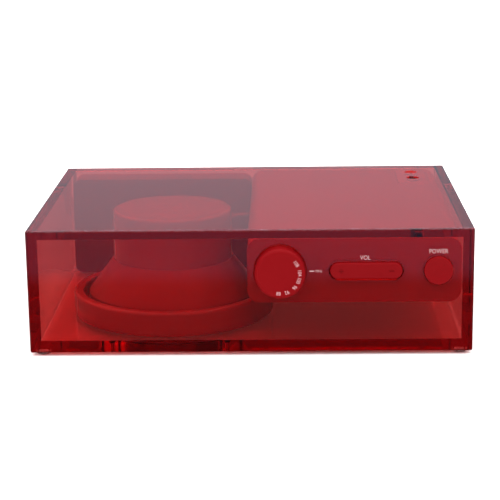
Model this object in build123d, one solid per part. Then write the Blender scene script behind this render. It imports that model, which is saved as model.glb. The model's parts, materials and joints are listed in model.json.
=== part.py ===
from build123d import *
import math
import os

# Table-top FM radio in a clear tinted acrylic case: a down-firing loudspeaker on the left, a control
# housing with knob, rocker and button hung under the top on the right, a battery box at the back.
# Frame: X to the right, Y to the back, Z up. The origin is the middle of the bounding box's underside.

# ---- Driving dimensions (mm) ------------------------------------------------------------------
# Case
CASE_W = 250.0
CASE_D = 180.0
WALL = 6.0
EDGE_R = 1.0                  # rounding of the case's outer edges
FOOT_H = 2.0
FOOT_R = 4.5
FOOT_CHAMFER = 0.8
FOOT_INSET = 7.0

# Clearances
SLIP = 0.2             # between parts that drop into one another
RUN = 0.05             # radial, shaft in bearing
SCREW_FIT = 0.02       # radial, screw in its pilot hole
BUTTON_GAP = 0.3       # radial, button in its hole

# Screws, countersunk
M3_R = 1.5
M3_HEAD_R = 2.9
M3_HEAD_H = 1.6
M25_R = 1.25
M25_HEAD_R = 2.4
M25_HEAD_H = 1.4
PAN_HEAD_R = 2.3
PAN_HEAD_H = 1.5
BOARD_SCREW_L = 5.5
REAR_SCREW_BITE = 6.0         # screw in the piece behind the back panel
PILOT_DEPTH = 8.0
REAR_SCREW_INSET = 10.0       # box's side to its screws
HOUSING_SCREW_SIDE = 9.0      # housing's side to its screws
HOUSING_SCREW_END = 7.0       # housing's top and bottom to its screws
SCREW_HOLE_GAP = 0.15  # radial, screw in a plain hole

# Loudspeaker, fires down through the base
SPEAKER_FROM_LEFT = 71.5      # inside of the left wall to the driver's axis
SPEAKER_FROM_FRONT = 69.0     # case's front to the driver's axis
RING_R = 60.0
RING_BORE_R = 42.0
RING_H = 15.0
RING_FOOT_R = 2.5             # rounding under the ring's rim
RING_LIP_R = 2.0              # rounding on top of the rim
RING_LIP_W = 6.0
SEAT_H = 7.0                  # flange seat above the ring's foot
GROOVE_W = 2.7                # between the lip and the basket
GASKET_T = 1.0
FLANGE_T = 2.0
BASKET_WALL = 1.2
SKIRT_H = 4.0                 # upright part of the basket above its flange
SKIRT_INSET = 0.6             # flange's edge to the upright part
TERMINAL_T = 2.0
TERMINAL_W = 12.0
TERMINAL_ABOVE = 2.0          # tag strip above the wires
FLANGE_LAP = 0.8              # basket's flange under the surround's edge
GRILLE_RIM = 2.0              # grille beyond the ring's bore
BASKET_TOP_R = 36.0
BASKET_H = 25.6               # flange's underside to the basket's top face
PLATE_INSET = 2.0             # top plate and yoke inside the magnet's rim
TOP_PLATE_T = 4.0
MAGNET_GAP = 2.3              # magnet to the inside of the cover
MAGNET_BORE_R = 17.0
MAGNET_T = 13.5
YOKE_T = 4.5
POLE_R = 12.1
COVER_R = 35.5
COVER_WALL = 1.2
COVER_EDGE_R = 1.9            # rounding of the cover's top edge
COVER_AIR = 0.8               # yoke to the inside of the cover
COIL_R = 12.5                 # inside of the voice coil's former
FORMER_T = 0.25
WINDING_T = 0.7
WINDING_H = 6.0
GAP_R = 14.2                  # hole in the top plate
CONE_R = 34.0
CONE_DEPTH = 14.0
CONE_T = 0.6
CONE_SUNK = 1.5               # cone's edge below the flange's top
DUST_CAP_LAP = 4.0            # dust cap beyond the cone's neck
DUST_CAP_R = 26.0             # radius of its dome
DUST_CAP_T = 0.5
SURROUND_W = 7.0
SURROUND_T = 0.5
SPIDER_W = 17.0
SPIDER_T = 0.5
SPIDER_FOLDS = 4
SPIDER_WAVE = 0.8             # height of a fold to each side
SPIDER_SEAT_W = 2.0
GLUE = 0.1                    # between pieces of the driver that are glued
GRILLE_PROUD_IN = 0.6         # grille's underside above the base's underside
GRILLE_SLOT_W = 3.4
GRILLE_PITCH = 6.8
GRILLE_RINGS = 5
GRILLE_SPOKE_W = 3.0
RING_SCREW_R = 47.3           # pitch circle of the ring's screws
RING_SCREW_BITE = 5.0         # screw in the ring

# Control housing under the top
BOX_TO_HOUSING = 0.5          # battery box's side to the housing's left side
HOUSING_SIDE_GAP = 0.5
HOUSING_TOP_GAP = 0.3
HOUSING_H = 37.0
HOUSING_CORNER_R = 7.0
HOUSING_WALL = 2.0
HOUSING_REAR_WALL = 3.0
FASCIA_T = 2.5
FASCIA_GAP = 0.3              # fascia to the front panel
FASCIA_RIM = 1.5
FASCIA_RIM_D = 3.0
POST_R = 2.4
POST_FROM_SIDE = 4.6          # housing's left side to the control board's posts
POST_FROM_ROCKER = 25.0       # rocker's middle to the other posts
POST_BELOW = 11.0
POST_ABOVE = 10.0
MAIN_POST_INSET = 5.0

# Controls
CONTROLS_ABOVE_MIDDLE = 0.8
KNOB_FROM_HOUSING = 18.5      # housing's left side to the knob's axis
KNOB_R = 14.3
KNOB_PROUD = 7.5
KNOB_GAP = 0.7                # radial, knob in the front panel's hole
KNOB_FACE_T = 2.5
KNOB_WALL = 2.0
KNOB_EDGE_R = 1.2
KNOB_HUB_R = 5.0
SHAFT_R = 3.0
TUNER_SIDE = 20.0
TUNER_T = 9.5
ROCKER_L = 40.6
ROCKER_H = 9.6
ROCKER_PROUD = 0.9
ROCKER_GAP = 0.5
ROCKER_FROM_KNOB = 48.0       # knob's axis to the rocker's middle
ROCKER_ARM = 14.0             # rocker's middle to each switch
ROCKER_PIN_R = 1.0
PIN_BEHIND_FASCIA = 3.0
LUG_T = 3.0                   # thickness of the rocker's lugs
LUG_W = 6.0
LUG_GAP = 0.2
ROCKER_EDGE_R = 0.6
ROCKER_REST_GAP = 0.6         # rocker's pushers to the switches
PUSHER_R = 1.6
MARK_L = 2.6                  # plus and minus signs
MARK_W = 0.45
MARK_DEPTH = 0.35
BUTTON_R = 8.15
BUTTON_PROUD = 1.2
BUTTON_FROM_SIDE = 13.3       # housing's right side to the button's axis
BUTTON_DISH_R = 60.0
BUTTON_TRAVEL = 2.0
BUTTON_FLANGE = 1.2
BUTTON_FLANGE_T = 1.5
BUTTON_EDGE_R = 0.5
BUTTON_DISH_DEPTH = 0.45
POWER_SWITCH_SIDE = 9.0
POWER_SWITCH_T = 5.0
SWITCH_SIDE = 6.0
SWITCH_T = 3.5
SWITCH_PLUNGER = 1.4
STEM_R = 1.5

# Boards
BOARD_T = 1.6
CONTROL_BOARD_FROM_FASCIA = 11.6
BOARD_STANDOFF = 5.0
BOARD_TO_BOARD = 22.0         # back of the upright board to the flat one
MAIN_BOARD_SIDE_GAP = 4.0     # housing's inside to the board
MAIN_BOARD_REAR_GAP = 9.0

# Sockets in the top
SOCKET_HOLE_R = 4.0
SOCKET_FROM_SIDE = 16.7       # housing's right side to the sockets
SOCKET_FROM_REAR = 22.5       # case's back to the rear socket
SOCKET_PITCH = 18.0
SOCKET_NOSE_GAP = 0.1
SOCKET_SUNK = 1.0
AUDIO_BORE_R = 1.8
AUDIO_BORE_L = 15.0
DC_BORE_R = 2.75
DC_BORE_L = 9.5
DC_PIN_R = 1.0
JACK_PLATE_W = 19.0
JACK_PLATE_D = 41.0
JACK_FLANGE = 1.2             # length and thickness of the ledges at the plate's ends
SOCKET_BODY = 12.0
JACK_BOARD_DROP = 14.0        # housing's inner top to the sockets' board
JACK_BOARD_RIM = 2.0
PILLAR_R = 2.5

# Battery box: three rows of two AA cells, open to the back
CELL_D = 14.5
CELL_L = 50.5
CELL_GAP = 0.5
CELL_ROWS = 3
CELLS_PER_ROW = 2
CONTACT_ROOM = 7.5
ROW_WALL = 1.5
BOX_END = 4.0
BOX_FLOOR = 2.0
BOX_TOP = 7.0
BOX_TOP_GAP = 2.0             # box to the ceiling
BOX_BACK = 2.0
BOX_CORNER_R = 5.0
BOX_SIDE_GAP = 0.5
BOX_SPARE = 2.5               # depth left over behind the cells
CONTACT_SIDE = 11.0
CONTACT_T = 0.4
SPRING_R = 3.4
SPRING_H = 5.6
SPRING_TURNS = 4
SPRING_WIRE_R = 0.35
DOOR_T = 3.0
DOOR_GAP = 0.4
NOTCH_R = 12.0                # finger notch, cut by a ball
NOTCH_DEPTH = 1.4
NOTCH_FROM_END = 7.0
RIB_L = 20.0                  # ribs that hold the cells in
RIB_T = 1.6
RIB_TO_CELL = 1.0
HINGE_LUG_L = 5.0
HINGE_R = 1.9
HINGE_PIN_R = 0.75

# Wires
WIRE_R = 0.8
WIRE_PITCH = 2.6
BEND_SHARE = 0.45             # share of a run that its corner's arc may take
WIRE_ABOVE_LIP = 1.0          # speaker wires over the ring's rim
WIRE_HOLE_BACK = 66.0         # driver's axis to the speaker wires' holes
WIRE_HOLE_UP = 7.3            # top of the flat board to those holes
ANTENNA_T = 0.3
ANTENNA_W = 10.0

# ---- Places worked out from the driving dimensions ---------------------------------------------
BAY_L = CELLS_PER_ROW * CELL_L + CONTACT_ROOM
ROW_H = CELL_D + CELL_GAP
BAY_H = CELL_ROWS * ROW_H + (CELL_ROWS - 1) * ROW_WALL
CASE_H = 2 * WALL + BOX_FLOOR + BAY_H + BOX_TOP + BOX_TOP_GAP

REAR = (CASE_D + KNOB_PROUD) / 2
FRONT = REAR - CASE_D
LEFT = -CASE_W / 2
RIGHT = CASE_W / 2
BOTTOM = FOOT_H
TOP = BOTTOM + CASE_H
IN_LEFT = LEFT + WALL
IN_RIGHT = RIGHT - WALL
IN_FRONT = FRONT + WALL
IN_REAR = REAR - WALL
FLOOR = BOTTOM + WALL
CEILING = TOP - WALL

BOX_LEFT = IN_LEFT + BOX_SIDE_GAP
BOX_RIGHT = BOX_LEFT + BAY_L + 2 * BOX_END
BOX_FRONT = IN_REAR - BOX_BACK - CELL_D - BOX_SPARE
BAY_FRONT = BOX_FRONT + BOX_BACK
BAY_LEFT = BOX_LEFT + BOX_END
BAY_RIGHT = BAY_LEFT + BAY_L
BAY_BOTTOM = FLOOR + BOX_FLOOR
BAY_TOP = BAY_BOTTOM + BAY_H
BOX_HIGH = BAY_TOP + BOX_TOP

SPEAKER_X = IN_LEFT + SPEAKER_FROM_LEFT
SPEAKER_Y = FRONT + SPEAKER_FROM_FRONT
SEAT_Z = FLOOR + SEAT_H
FLANGE_Z = SEAT_Z + GASKET_T
LIP_IN_R = RING_R - RING_LIP_W
LIP_Z = FLOOR + RING_H
FLANGE_R = LIP_IN_R - GROOVE_W
FLANGE_TOP = FLANGE_Z + FLANGE_T
BOWL_R = FLANGE_R - SKIRT_INSET
BASKET_TOP = FLANGE_Z + BASKET_H
MAGNET_R = COVER_R - COVER_WALL - MAGNET_GAP
PLATE_R = MAGNET_R - PLATE_INSET
GAP_TOP = BASKET_TOP + TOP_PLATE_T
YOKE_Z = GAP_TOP + MAGNET_T
COVER_TOP = YOKE_Z + YOKE_T + COVER_AIR + COVER_WALL
CONE_Z = FLANGE_TOP - CONE_SUNK
CONE_NECK_Z = FLANGE_TOP + CONE_DEPTH
NECK_R = COIL_R + FORMER_T

HOUSING_LEFT = BOX_RIGHT + BOX_TO_HOUSING
HOUSING_RIGHT = IN_RIGHT - HOUSING_SIDE_GAP
HOUSING_TOP = CEILING - HOUSING_TOP_GAP
HOUSING_BOTTOM = HOUSING_TOP - HOUSING_H
HOUSING_X = (HOUSING_LEFT + HOUSING_RIGHT) / 2
HOUSING_Z = (HOUSING_TOP + HOUSING_BOTTOM) / 2
HOUSING_W = HOUSING_RIGHT - HOUSING_LEFT
FASCIA_FRONT = IN_FRONT + FASCIA_GAP
FASCIA_BACK = FASCIA_FRONT + FASCIA_T

CONTROL_Z = HOUSING_Z + CONTROLS_ABOVE_MIDDLE
KNOB_X = HOUSING_LEFT + KNOB_FROM_HOUSING
ROCKER_X = KNOB_X + ROCKER_FROM_KNOB
BUTTON_X = HOUSING_RIGHT - BUTTON_FROM_SIDE
CONTROL_BOARD_Y = FASCIA_BACK + CONTROL_BOARD_FROM_FASCIA
PIN_Y = FASCIA_BACK + PIN_BEHIND_FASCIA
MAIN_BOARD_Z = HOUSING_BOTTOM + HOUSING_WALL + BOARD_STANDOFF
MAIN_BOARD_TOP = MAIN_BOARD_Z + BOARD_T
MAIN_BOARD_REAR = IN_REAR - HOUSING_REAR_WALL - MAIN_BOARD_REAR_GAP
MAIN_BOARD_FRONT = CONTROL_BOARD_Y + BOARD_T + BOARD_TO_BOARD
MAIN_BOARD_LEFT = HOUSING_LEFT + HOUSING_WALL + MAIN_BOARD_SIDE_GAP
MAIN_BOARD_RIGHT = HOUSING_RIGHT - HOUSING_WALL - MAIN_BOARD_SIDE_GAP
WIRE_HOLE_Y = SPEAKER_Y + WIRE_HOLE_BACK
WIRE_HOLE_Z = MAIN_BOARD_TOP + WIRE_HOLE_UP

SOCKET_X = HOUSING_RIGHT - SOCKET_FROM_SIDE
REAR_SOCKET_Y = REAR - SOCKET_FROM_REAR
FRONT_SOCKET_Y = REAR_SOCKET_Y - SOCKET_PITCH
JACK_PLATE_REAR = IN_REAR - HOUSING_REAR_WALL - JACK_FLANGE - SLIP
JACK_PLATE_FRONT = JACK_PLATE_REAR - JACK_PLATE_D
JACK_PLATE_BOTTOM = HOUSING_TOP - HOUSING_WALL

HINGE_X = BOX_RIGHT - HINGE_R - DOOR_GAP
HINGE_Y = REAR - HINGE_R

# Screws and posts, each as (x, height) or (x, y)
REAR_SCREW_L = WALL + REAR_SCREW_BITE
BOX_SCREWS = [(x, BAY_TOP + BOX_TOP / 2) for x in (BOX_LEFT + REAR_SCREW_INSET, BOX_RIGHT - REAR_SCREW_INSET)]
HOUSING_SCREWS = [
    (x, z)
    for x in (HOUSING_LEFT + HOUSING_SCREW_SIDE, HOUSING_RIGHT - HOUSING_SCREW_SIDE)
    for z in (HOUSING_BOTTOM + HOUSING_SCREW_END, HOUSING_TOP - HOUSING_SCREW_END)
]
BOARD_POSTS = [
    (x, z)
    for x in (HOUSING_LEFT + POST_FROM_SIDE, ROCKER_X + POST_FROM_ROCKER)
    for z in (CONTROL_Z - POST_BELOW, CONTROL_Z + POST_ABOVE)
]
MAIN_POSTS = [
    (x, y)
    for x in (MAIN_BOARD_LEFT + MAIN_POST_INSET, MAIN_BOARD_RIGHT - MAIN_POST_INSET)
    for y in (MAIN_BOARD_FRONT + MAIN_POST_INSET, MAIN_BOARD_REAR - MAIN_POST_INSET)
]


# ---- Small helpers ------------------------------------------------------------------------------
def block(x0, x1, y0, y1, z0, z1):
    """Box between two corners."""
    return Pos((x0 + x1) / 2, (y0 + y1) / 2, (z0 + z1) / 2) * Box(x1 - x0, y1 - y0, z1 - z0)


def rod_x(x0, x1, y, z, radius):
    """Cylinder along X."""
    return Pos((x0 + x1) / 2, y, z) * Rot(0, 90, 0) * Cylinder(radius, x1 - x0)


def rod_y(x, y0, y1, z, radius):
    """Cylinder along Y."""
    return Pos(x, (y0 + y1) / 2, z) * Rot(90, 0, 0) * Cylinder(radius, y1 - y0)


def rod_z(x, y, z0, z1, radius):
    """Cylinder along Z."""
    return Pos(x, y, (z0 + z1) / 2) * Cylinder(radius, z1 - z0)


def turned(points, x, y):
    """Solid of revolution about the upright line through x, y, from (radius, height) corners."""
    outline = Plane.XZ * make_face(Polyline(*points, close=True))
    return Pos(x, y, 0) * revolve(outline, Axis.Z)


def prism_y(corners, y0, y1):
    """Bar along Y whose section is a polygon of (x, height) corners."""
    section = make_face(Polyline(*[(x, y0, z) for x, z in corners], close=True))
    return extrude(section, y1 - y0, dir=(0, 1, 0))


def facing_back(x, y, z):
    """Plane across Y that faces the back, with its own x along X."""
    return Plane(origin=(x, y, z), x_dir=(1, 0, 0), z_dir=(0, 1, 0))


def pill_y(x, z, length, height, y0, y1):
    """Round-ended bar lying along X, run through from y0 to y1."""
    return extrude(facing_back(x, y0, z) * SlotOverall(length, height), y1 - y0)


def rounded_y(x, z, width, height, radius, y0, y1):
    """Bar of rounded rectangular section, run through from y0 to y1."""
    return extrude(facing_back(x, y0, z) * RectangleRounded(width, height, radius), y1 - y0)


def countersunk(radius, head_radius, head_height, length):
    """Countersunk screw with its head's top at the origin and its point down."""
    under_head = -head_height
    profile = [(0, 0), (head_radius, 0), (radius, under_head), (radius, -length), (0, -length)]
    screw = turned(profile, 0, 0)
    slot_depth = head_height * 0.8
    slot = Box(head_radius * 1.4, radius * 0.4, 2 * slot_depth)
    return screw - slot - Rot(0, 0, 90) * slot


def countersink(radius, head_radius, head_height, depth):
    """Hole for such a screw, through a panel of this depth."""
    hole_r = radius + SCREW_HOLE_GAP
    mouth_r = head_radius + SCREW_HOLE_GAP
    return turned([(0, 0), (mouth_r, 0), (hole_r, -head_height), (hole_r, -depth), (0, -depth)], 0, 0)


def from_below(x, y, z):
    """Place for a screw that goes up into the part, with its head at x, y, z."""
    return Pos(x, y, z) * Rot(180, 0, 0)


def from_behind(x, y, z):
    """Place for a screw that goes forwards into the part, with its head at x, y, z."""
    return Pos(x, y, z) * Rot(-90, 0, 0)


def save(node, shape):
    """Write one named piece."""
    solids = shape.solids() if hasattr(shape, "solids") else [shape]
    piece = solids[0] if len(solids) == 1 else Compound(children=list(solids))
    piece.label = node
    export_step(piece, os.path.join("parts", node + ".step"))


# ---- Case ---------------------------------------------------------------------------------------
def mitred(corners):
    """Length of the case's sleeve whose section is one mitred wall, with the outer edges rounded."""
    whole = block(LEFT, RIGHT, FRONT, REAR, BOTTOM, TOP)
    whole = fillet(whole.edges(), EDGE_R)
    return whole & prism_y(corners, FRONT, REAR)


def case_walls():
    """The four walls of the sleeve, by name."""
    outer = {"lt": (LEFT, TOP), "rt": (RIGHT, TOP), "lb": (LEFT, BOTTOM), "rb": (RIGHT, BOTTOM)}
    inner = {
        "lt": (IN_LEFT, CEILING), "rt": (IN_RIGHT, CEILING), "lb": (IN_LEFT, FLOOR), "rb": (IN_RIGHT, FLOOR),
    }
    walls = {}
    ends = (("top", "lt", "rt"), ("base", "lb", "rb"), ("left", "lt", "lb"), ("right", "rt", "rb"))
    for name, first, second in ends:
        walls[name] = mitred([outer[first], outer[second], inner[second], inner[first]])
    return walls


def ring_screw_places():
    """Axes of the four screws that hold the speaker ring."""
    return [Pos(SPEAKER_X, SPEAKER_Y, 0) * loc for loc in PolarLocations(RING_SCREW_R, 4, start_angle=45)]


def top_panel(wall):
    """Top with its two socket holes."""
    for y in (REAR_SOCKET_Y, FRONT_SOCKET_Y):
        wall -= rod_z(SOCKET_X, y, CEILING - 1, TOP + 1, SOCKET_HOLE_R)
    return wall


def base_panel(wall):
    """Base with the loudspeaker's opening and the ring's countersunk holes."""
    wall -= rod_z(SPEAKER_X, SPEAKER_Y, BOTTOM - 1, FLOOR + 1, RING_BORE_R + GRILLE_RIM + SLIP)
    for place in ring_screw_places():
        at = place.position
        wall -= from_below(at.X, at.Y, BOTTOM) * countersink(M3_R, M3_HEAD_R, M3_HEAD_H, WALL + 1)
    return wall


def front_panel():
    """Window set into the sleeve, cut for the knob, the rocker and the button."""
    panel = block(IN_LEFT, IN_RIGHT, FRONT, IN_FRONT, FLOOR, CEILING)
    y0 = FRONT - 1
    y1 = IN_FRONT + 1
    panel -= rod_y(KNOB_X, y0, y1, CONTROL_Z, KNOB_R + KNOB_GAP)
    panel -= pill_y(ROCKER_X, CONTROL_Z, ROCKER_L + 2 * ROCKER_GAP, ROCKER_H + 2 * ROCKER_GAP, y0, y1)
    panel -= rod_y(BUTTON_X, y0, y1, CONTROL_Z, BUTTON_R + BUTTON_GAP)
    return panel


def rear_panel():
    """Screwed-on back with the opening for the battery door."""
    panel = block(IN_LEFT + SLIP, IN_RIGHT - SLIP, IN_REAR, REAR, FLOOR + SLIP, CEILING - SLIP)
    panel -= block(BAY_LEFT, BOX_RIGHT, IN_REAR - 1, REAR + 1, BAY_BOTTOM, BAY_TOP)
    for x, z in BOX_SCREWS + HOUSING_SCREWS:
        panel -= from_behind(x, REAR, z) * countersink(M25_R, M25_HEAD_R, M25_HEAD_H, WALL + 1)
    return panel


def rear_screws():
    """Six screws through the back."""
    screw = countersunk(M25_R, M25_HEAD_R, M25_HEAD_H, REAR_SCREW_L)
    return Compound([from_behind(x, REAR, z) * screw for x, z in BOX_SCREWS + HOUSING_SCREWS])


def feet():
    """Four clear bumpers, bevelled at the edge."""
    x = CASE_W / 2 - FOOT_INSET
    places = [(sx * x, y) for sx in (-1, 1) for y in (FRONT + FOOT_INSET, REAR - FOOT_INSET)]
    tread_r = FOOT_R - FOOT_CHAMFER
    profile = [(0, 0), (tread_r, 0), (FOOT_R, FOOT_CHAMFER), (FOOT_R, FOOT_H), (0, FOOT_H)]
    return Compound([turned(profile, x, y) for x, y in places])


# ---- Loudspeaker --------------------------------------------------------------------------------
def speaker_ring():
    """Moulded ring with a rolled rim that stands the driver on the base."""
    outline = Plane.XZ * make_face(Polyline(
        (RING_BORE_R, FLOOR), (RING_R, FLOOR), (RING_R, LIP_Z), (LIP_IN_R, LIP_Z),
        (LIP_IN_R, SEAT_Z), (RING_BORE_R, SEAT_Z), close=True,
    ))
    low_rim = outline.vertices().sort_by_distance((RING_R, 0, FLOOR))[0]
    outline = fillet(low_rim, RING_FOOT_R)
    outer_lip = outline.vertices().sort_by_distance((RING_R, 0, LIP_Z))[0]
    outline = fillet(outer_lip, RING_LIP_R)
    inner_lip = outline.vertices().sort_by_distance((LIP_IN_R, 0, LIP_Z))[0]
    outline = fillet(inner_lip, RING_LIP_R / 2)
    ring = Pos(SPEAKER_X, SPEAKER_Y, 0) * revolve(outline, Axis.Z)
    for place in ring_screw_places():
        at = place.position
        ring -= rod_z(at.X, at.Y, FLOOR - 1, SEAT_Z - 0.8, M3_R + SCREW_FIT)
    return ring


def speaker_grille():
    """Slotted disc in the base's opening."""
    radius = RING_BORE_R + GRILLE_RIM
    z0 = BOTTOM + GRILLE_PROUD_IN
    slots = Sketch()
    for i in range(1, GRILLE_RINGS + 1):
        middle = i * GRILLE_PITCH
        slots += Circle(middle + GRILLE_SLOT_W / 2) - Circle(middle - GRILLE_SLOT_W / 2)
    for i in range(3):
        slots -= Rot(0, 0, 60 * i) * Rectangle(2 * radius, GRILLE_SPOKE_W)
    disc = Circle(radius) - slots
    return Pos(SPEAKER_X, SPEAKER_Y, z0) * extrude(disc, FLOOR - z0)


def basket():
    """Pressed bowl: flange, upright skirt, slanted wall and flat top, one wall thick."""
    skirt_top = FLANGE_TOP + SKIRT_H
    bend_in = BASKET_WALL / 3
    slope_z = BASKET_TOP - BASKET_WALL
    flange_in = CONE_R + SURROUND_W - FLANGE_LAP
    hole_r = GAP_R + 3.0
    points = [
        (flange_in, FLANGE_Z), (FLANGE_R, FLANGE_Z), (FLANGE_R, FLANGE_TOP),
        (BOWL_R, FLANGE_TOP), (BOWL_R, skirt_top), (BASKET_TOP_R, BASKET_TOP),
        (hole_r, BASKET_TOP), (hole_r, slope_z), (BASKET_TOP_R - BASKET_WALL, slope_z),
        (BOWL_R - BASKET_WALL, skirt_top - bend_in), (BOWL_R - BASKET_WALL, FLANGE_TOP),
        (flange_in, FLANGE_TOP),
    ]
    return turned(points, SPEAKER_X, SPEAKER_Y)


def spider_ledge_z():
    """Height of the spider, between the cone's neck and the basket's top."""
    return (CONE_NECK_Z + BASKET_TOP) / 2


def driver_ring(corners):
    """Piece of the driver: a profile of (radius, height) corners turned about its axis."""
    return turned(corners, SPEAKER_X, SPEAKER_Y)


def flat_ring(inner, outer, z0, z1):
    """Plain ring of the driver."""
    return driver_ring([(inner, z0), (outer, z0), (outer, z1), (inner, z1)])


def magnet_cover():
    """Moulded cap over the magnet with a rounded top edge."""
    inside = COVER_R - COVER_WALL
    under = COVER_TOP - COVER_WALL
    cover = driver_ring([
        (inside, BASKET_TOP), (COVER_R, BASKET_TOP), (COVER_R, COVER_TOP), (0, COVER_TOP), (0, under),
        (inside, under),
    ])
    rim = [
        e for e in cover.edges().filter_by(GeomType.CIRCLE)
        if abs(e.radius - COVER_R) < 1e-3 and abs(e.center().Z - COVER_TOP) < 1e-3
    ]
    return fillet(rim, COVER_EDGE_R)


def motor_parts():
    """Magnet, steel pieces and voice coil, by node."""
    yoke_top = YOKE_Z + YOKE_T
    coil_z = (BASKET_TOP + GAP_TOP) / 2
    winding_low = coil_z - WINDING_H / 2
    winding_high = coil_z + WINDING_H / 2
    winding_r = NECK_R + WINDING_T
    former_low = CONE_NECK_Z - CONE_SUNK
    return {
        "top_plate": flat_ring(GAP_R, PLATE_R, BASKET_TOP, GAP_TOP),
        "ring_magnet": flat_ring(MAGNET_BORE_R, MAGNET_R, GAP_TOP, YOKE_Z),
        "pole_yoke": driver_ring([
            (0, BASKET_TOP), (POLE_R, BASKET_TOP), (POLE_R, YOKE_Z), (PLATE_R, YOKE_Z), (PLATE_R, yoke_top),
            (0, yoke_top),
        ]),
        "magnet_cover": magnet_cover(),
        "voice_coil": driver_ring([
            (COIL_R, former_low), (NECK_R, former_low), (NECK_R, winding_low), (winding_r, winding_low),
            (winding_r, winding_high), (COIL_R, winding_high),
        ]),
    }


def dust_cap():
    """Thin dome that closes the cone's neck, hollow side down."""
    rim_z = CONE_NECK_Z - 5.2
    middle = rim_z + DUST_CAP_R - 8.0
    dome = Pos(SPEAKER_X, SPEAKER_Y, middle) * (Sphere(DUST_CAP_R) - Sphere(DUST_CAP_R - DUST_CAP_T))
    return dome & rod_z(SPEAKER_X, SPEAKER_Y, rim_z - DUST_CAP_R / 2, rim_z, NECK_R + DUST_CAP_LAP)


def surround():
    """Half roll between the cone's edge and the flange."""
    roll = SURROUND_W / 2
    roll_r = roll - GLUE
    middle_r = CONE_R + roll
    torus = Torus(middle_r, roll_r) - Torus(middle_r, roll_r - SURROUND_T)
    below = flat_ring(CONE_R + GLUE, CONE_R + SURROUND_W, FLANGE_Z - SURROUND_W, FLANGE_Z)
    return (Pos(SPEAKER_X, SPEAKER_Y, FLANGE_Z) * torus) & below


def suspension_parts():
    """Cone, dust cap, surround, spider and the spider's seat, by node."""
    cone_in = NECK_R + GLUE
    spider_z = spider_ledge_z()
    spider_in = NECK_R + GLUE / 2
    step = SPIDER_W / (2 * SPIDER_FOLDS)
    upper = [
        (spider_in + i * step, spider_z + (SPIDER_WAVE if i % 2 else -SPIDER_WAVE))
        for i in range(2 * SPIDER_FOLDS + 1)
    ]
    lower = [(r, z - SPIDER_T) for r, z in reversed(upper)]
    seat_in = spider_in + SPIDER_W + GLUE
    return {
        "speaker_cone": driver_ring([
            (CONE_R, CONE_Z), (CONE_R, CONE_Z + CONE_T), (cone_in + CONE_T, CONE_NECK_Z),
            (cone_in, CONE_NECK_Z), (cone_in, CONE_NECK_Z - CONE_T), (CONE_R - CONE_T, CONE_Z),
        ]),
        "dust_cap": dust_cap(),
        "surround": surround(),
        "spider": driver_ring(upper + lower),
        "spider_seat": flat_ring(seat_in, seat_in + SPIDER_SEAT_W, spider_z - 2.0, BASKET_TOP - BASKET_WALL),
    }


def ring_screws():
    """Four screws up through the base into the ring."""
    screw = countersunk(M3_R, M3_HEAD_R, M3_HEAD_H, WALL + RING_SCREW_BITE)
    places = [place.position for place in ring_screw_places()]
    return Compound([from_below(at.X, at.Y, BOTTOM) * screw for at in places])


def speaker_parts():
    """Every piece of the driver and what holds it, by node."""
    return {
        "speaker_gasket": flat_ring(RING_BORE_R, FLANGE_R, SEAT_Z, FLANGE_Z),
        "speaker_basket": basket(),
        "speaker_ring": speaker_ring(),
        "speaker_grille": speaker_grille(),
        "ring_screws": ring_screws(),
        **motor_parts(),
        **suspension_parts(),
    }


# ---- Control housing and its controls -------------------------------------------------------------
def control_housing():
    """Tube of rounded section with a closed back, cut for the sockets' plate and the wires."""
    shell = rounded_y(HOUSING_X, HOUSING_Z, HOUSING_W, HOUSING_H, HOUSING_CORNER_R, FASCIA_BACK, IN_REAR)
    shell -= rounded_y(
        HOUSING_X, HOUSING_Z, HOUSING_W - 2 * HOUSING_WALL, HOUSING_H - 2 * HOUSING_WALL,
        HOUSING_CORNER_R - HOUSING_WALL, FASCIA_BACK - 1, IN_REAR - HOUSING_REAR_WALL,
    )
    wall_y = IN_REAR - HOUSING_REAR_WALL
    for x, z in HOUSING_SCREWS:
        shell += rod_y(x, IN_REAR - PILOT_DEPTH - 1, wall_y, z, POST_R + 0.6)
        shell -= rod_y(x, IN_REAR - PILOT_DEPTH, IN_REAR + 1, z, M25_R + SCREW_FIT)
    for x, y in MAIN_POSTS:
        shell += rod_z(x, y, HOUSING_BOTTOM + 1, MAIN_BOARD_Z, POST_R)
        shell -= rod_z(x, y, HOUSING_BOTTOM + 1, MAIN_BOARD_Z + 1, M25_R + SCREW_FIT)
    half_w = JACK_PLATE_W / 2 + SLIP
    shell -= block(
        SOCKET_X - half_w, SOCKET_X + half_w, JACK_PLATE_FRONT - SLIP, JACK_PLATE_REAR + SLIP,
        JACK_PLATE_BOTTOM - 1, HOUSING_TOP + 1,
    )
    for y in (WIRE_HOLE_Y, WIRE_HOLE_Y + WIRE_PITCH):
        shell -= rod_x(HOUSING_LEFT - 1, HOUSING_LEFT + HOUSING_WALL + 1, y, WIRE_HOLE_Z, WIRE_R + RUN)
    for y in battery_wire_places():
        shell -= rod_x(HOUSING_LEFT - 1, HOUSING_LEFT + HOUSING_WALL + 1, y, battery_wire_z(), WIRE_R + RUN)
    return shell


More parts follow.
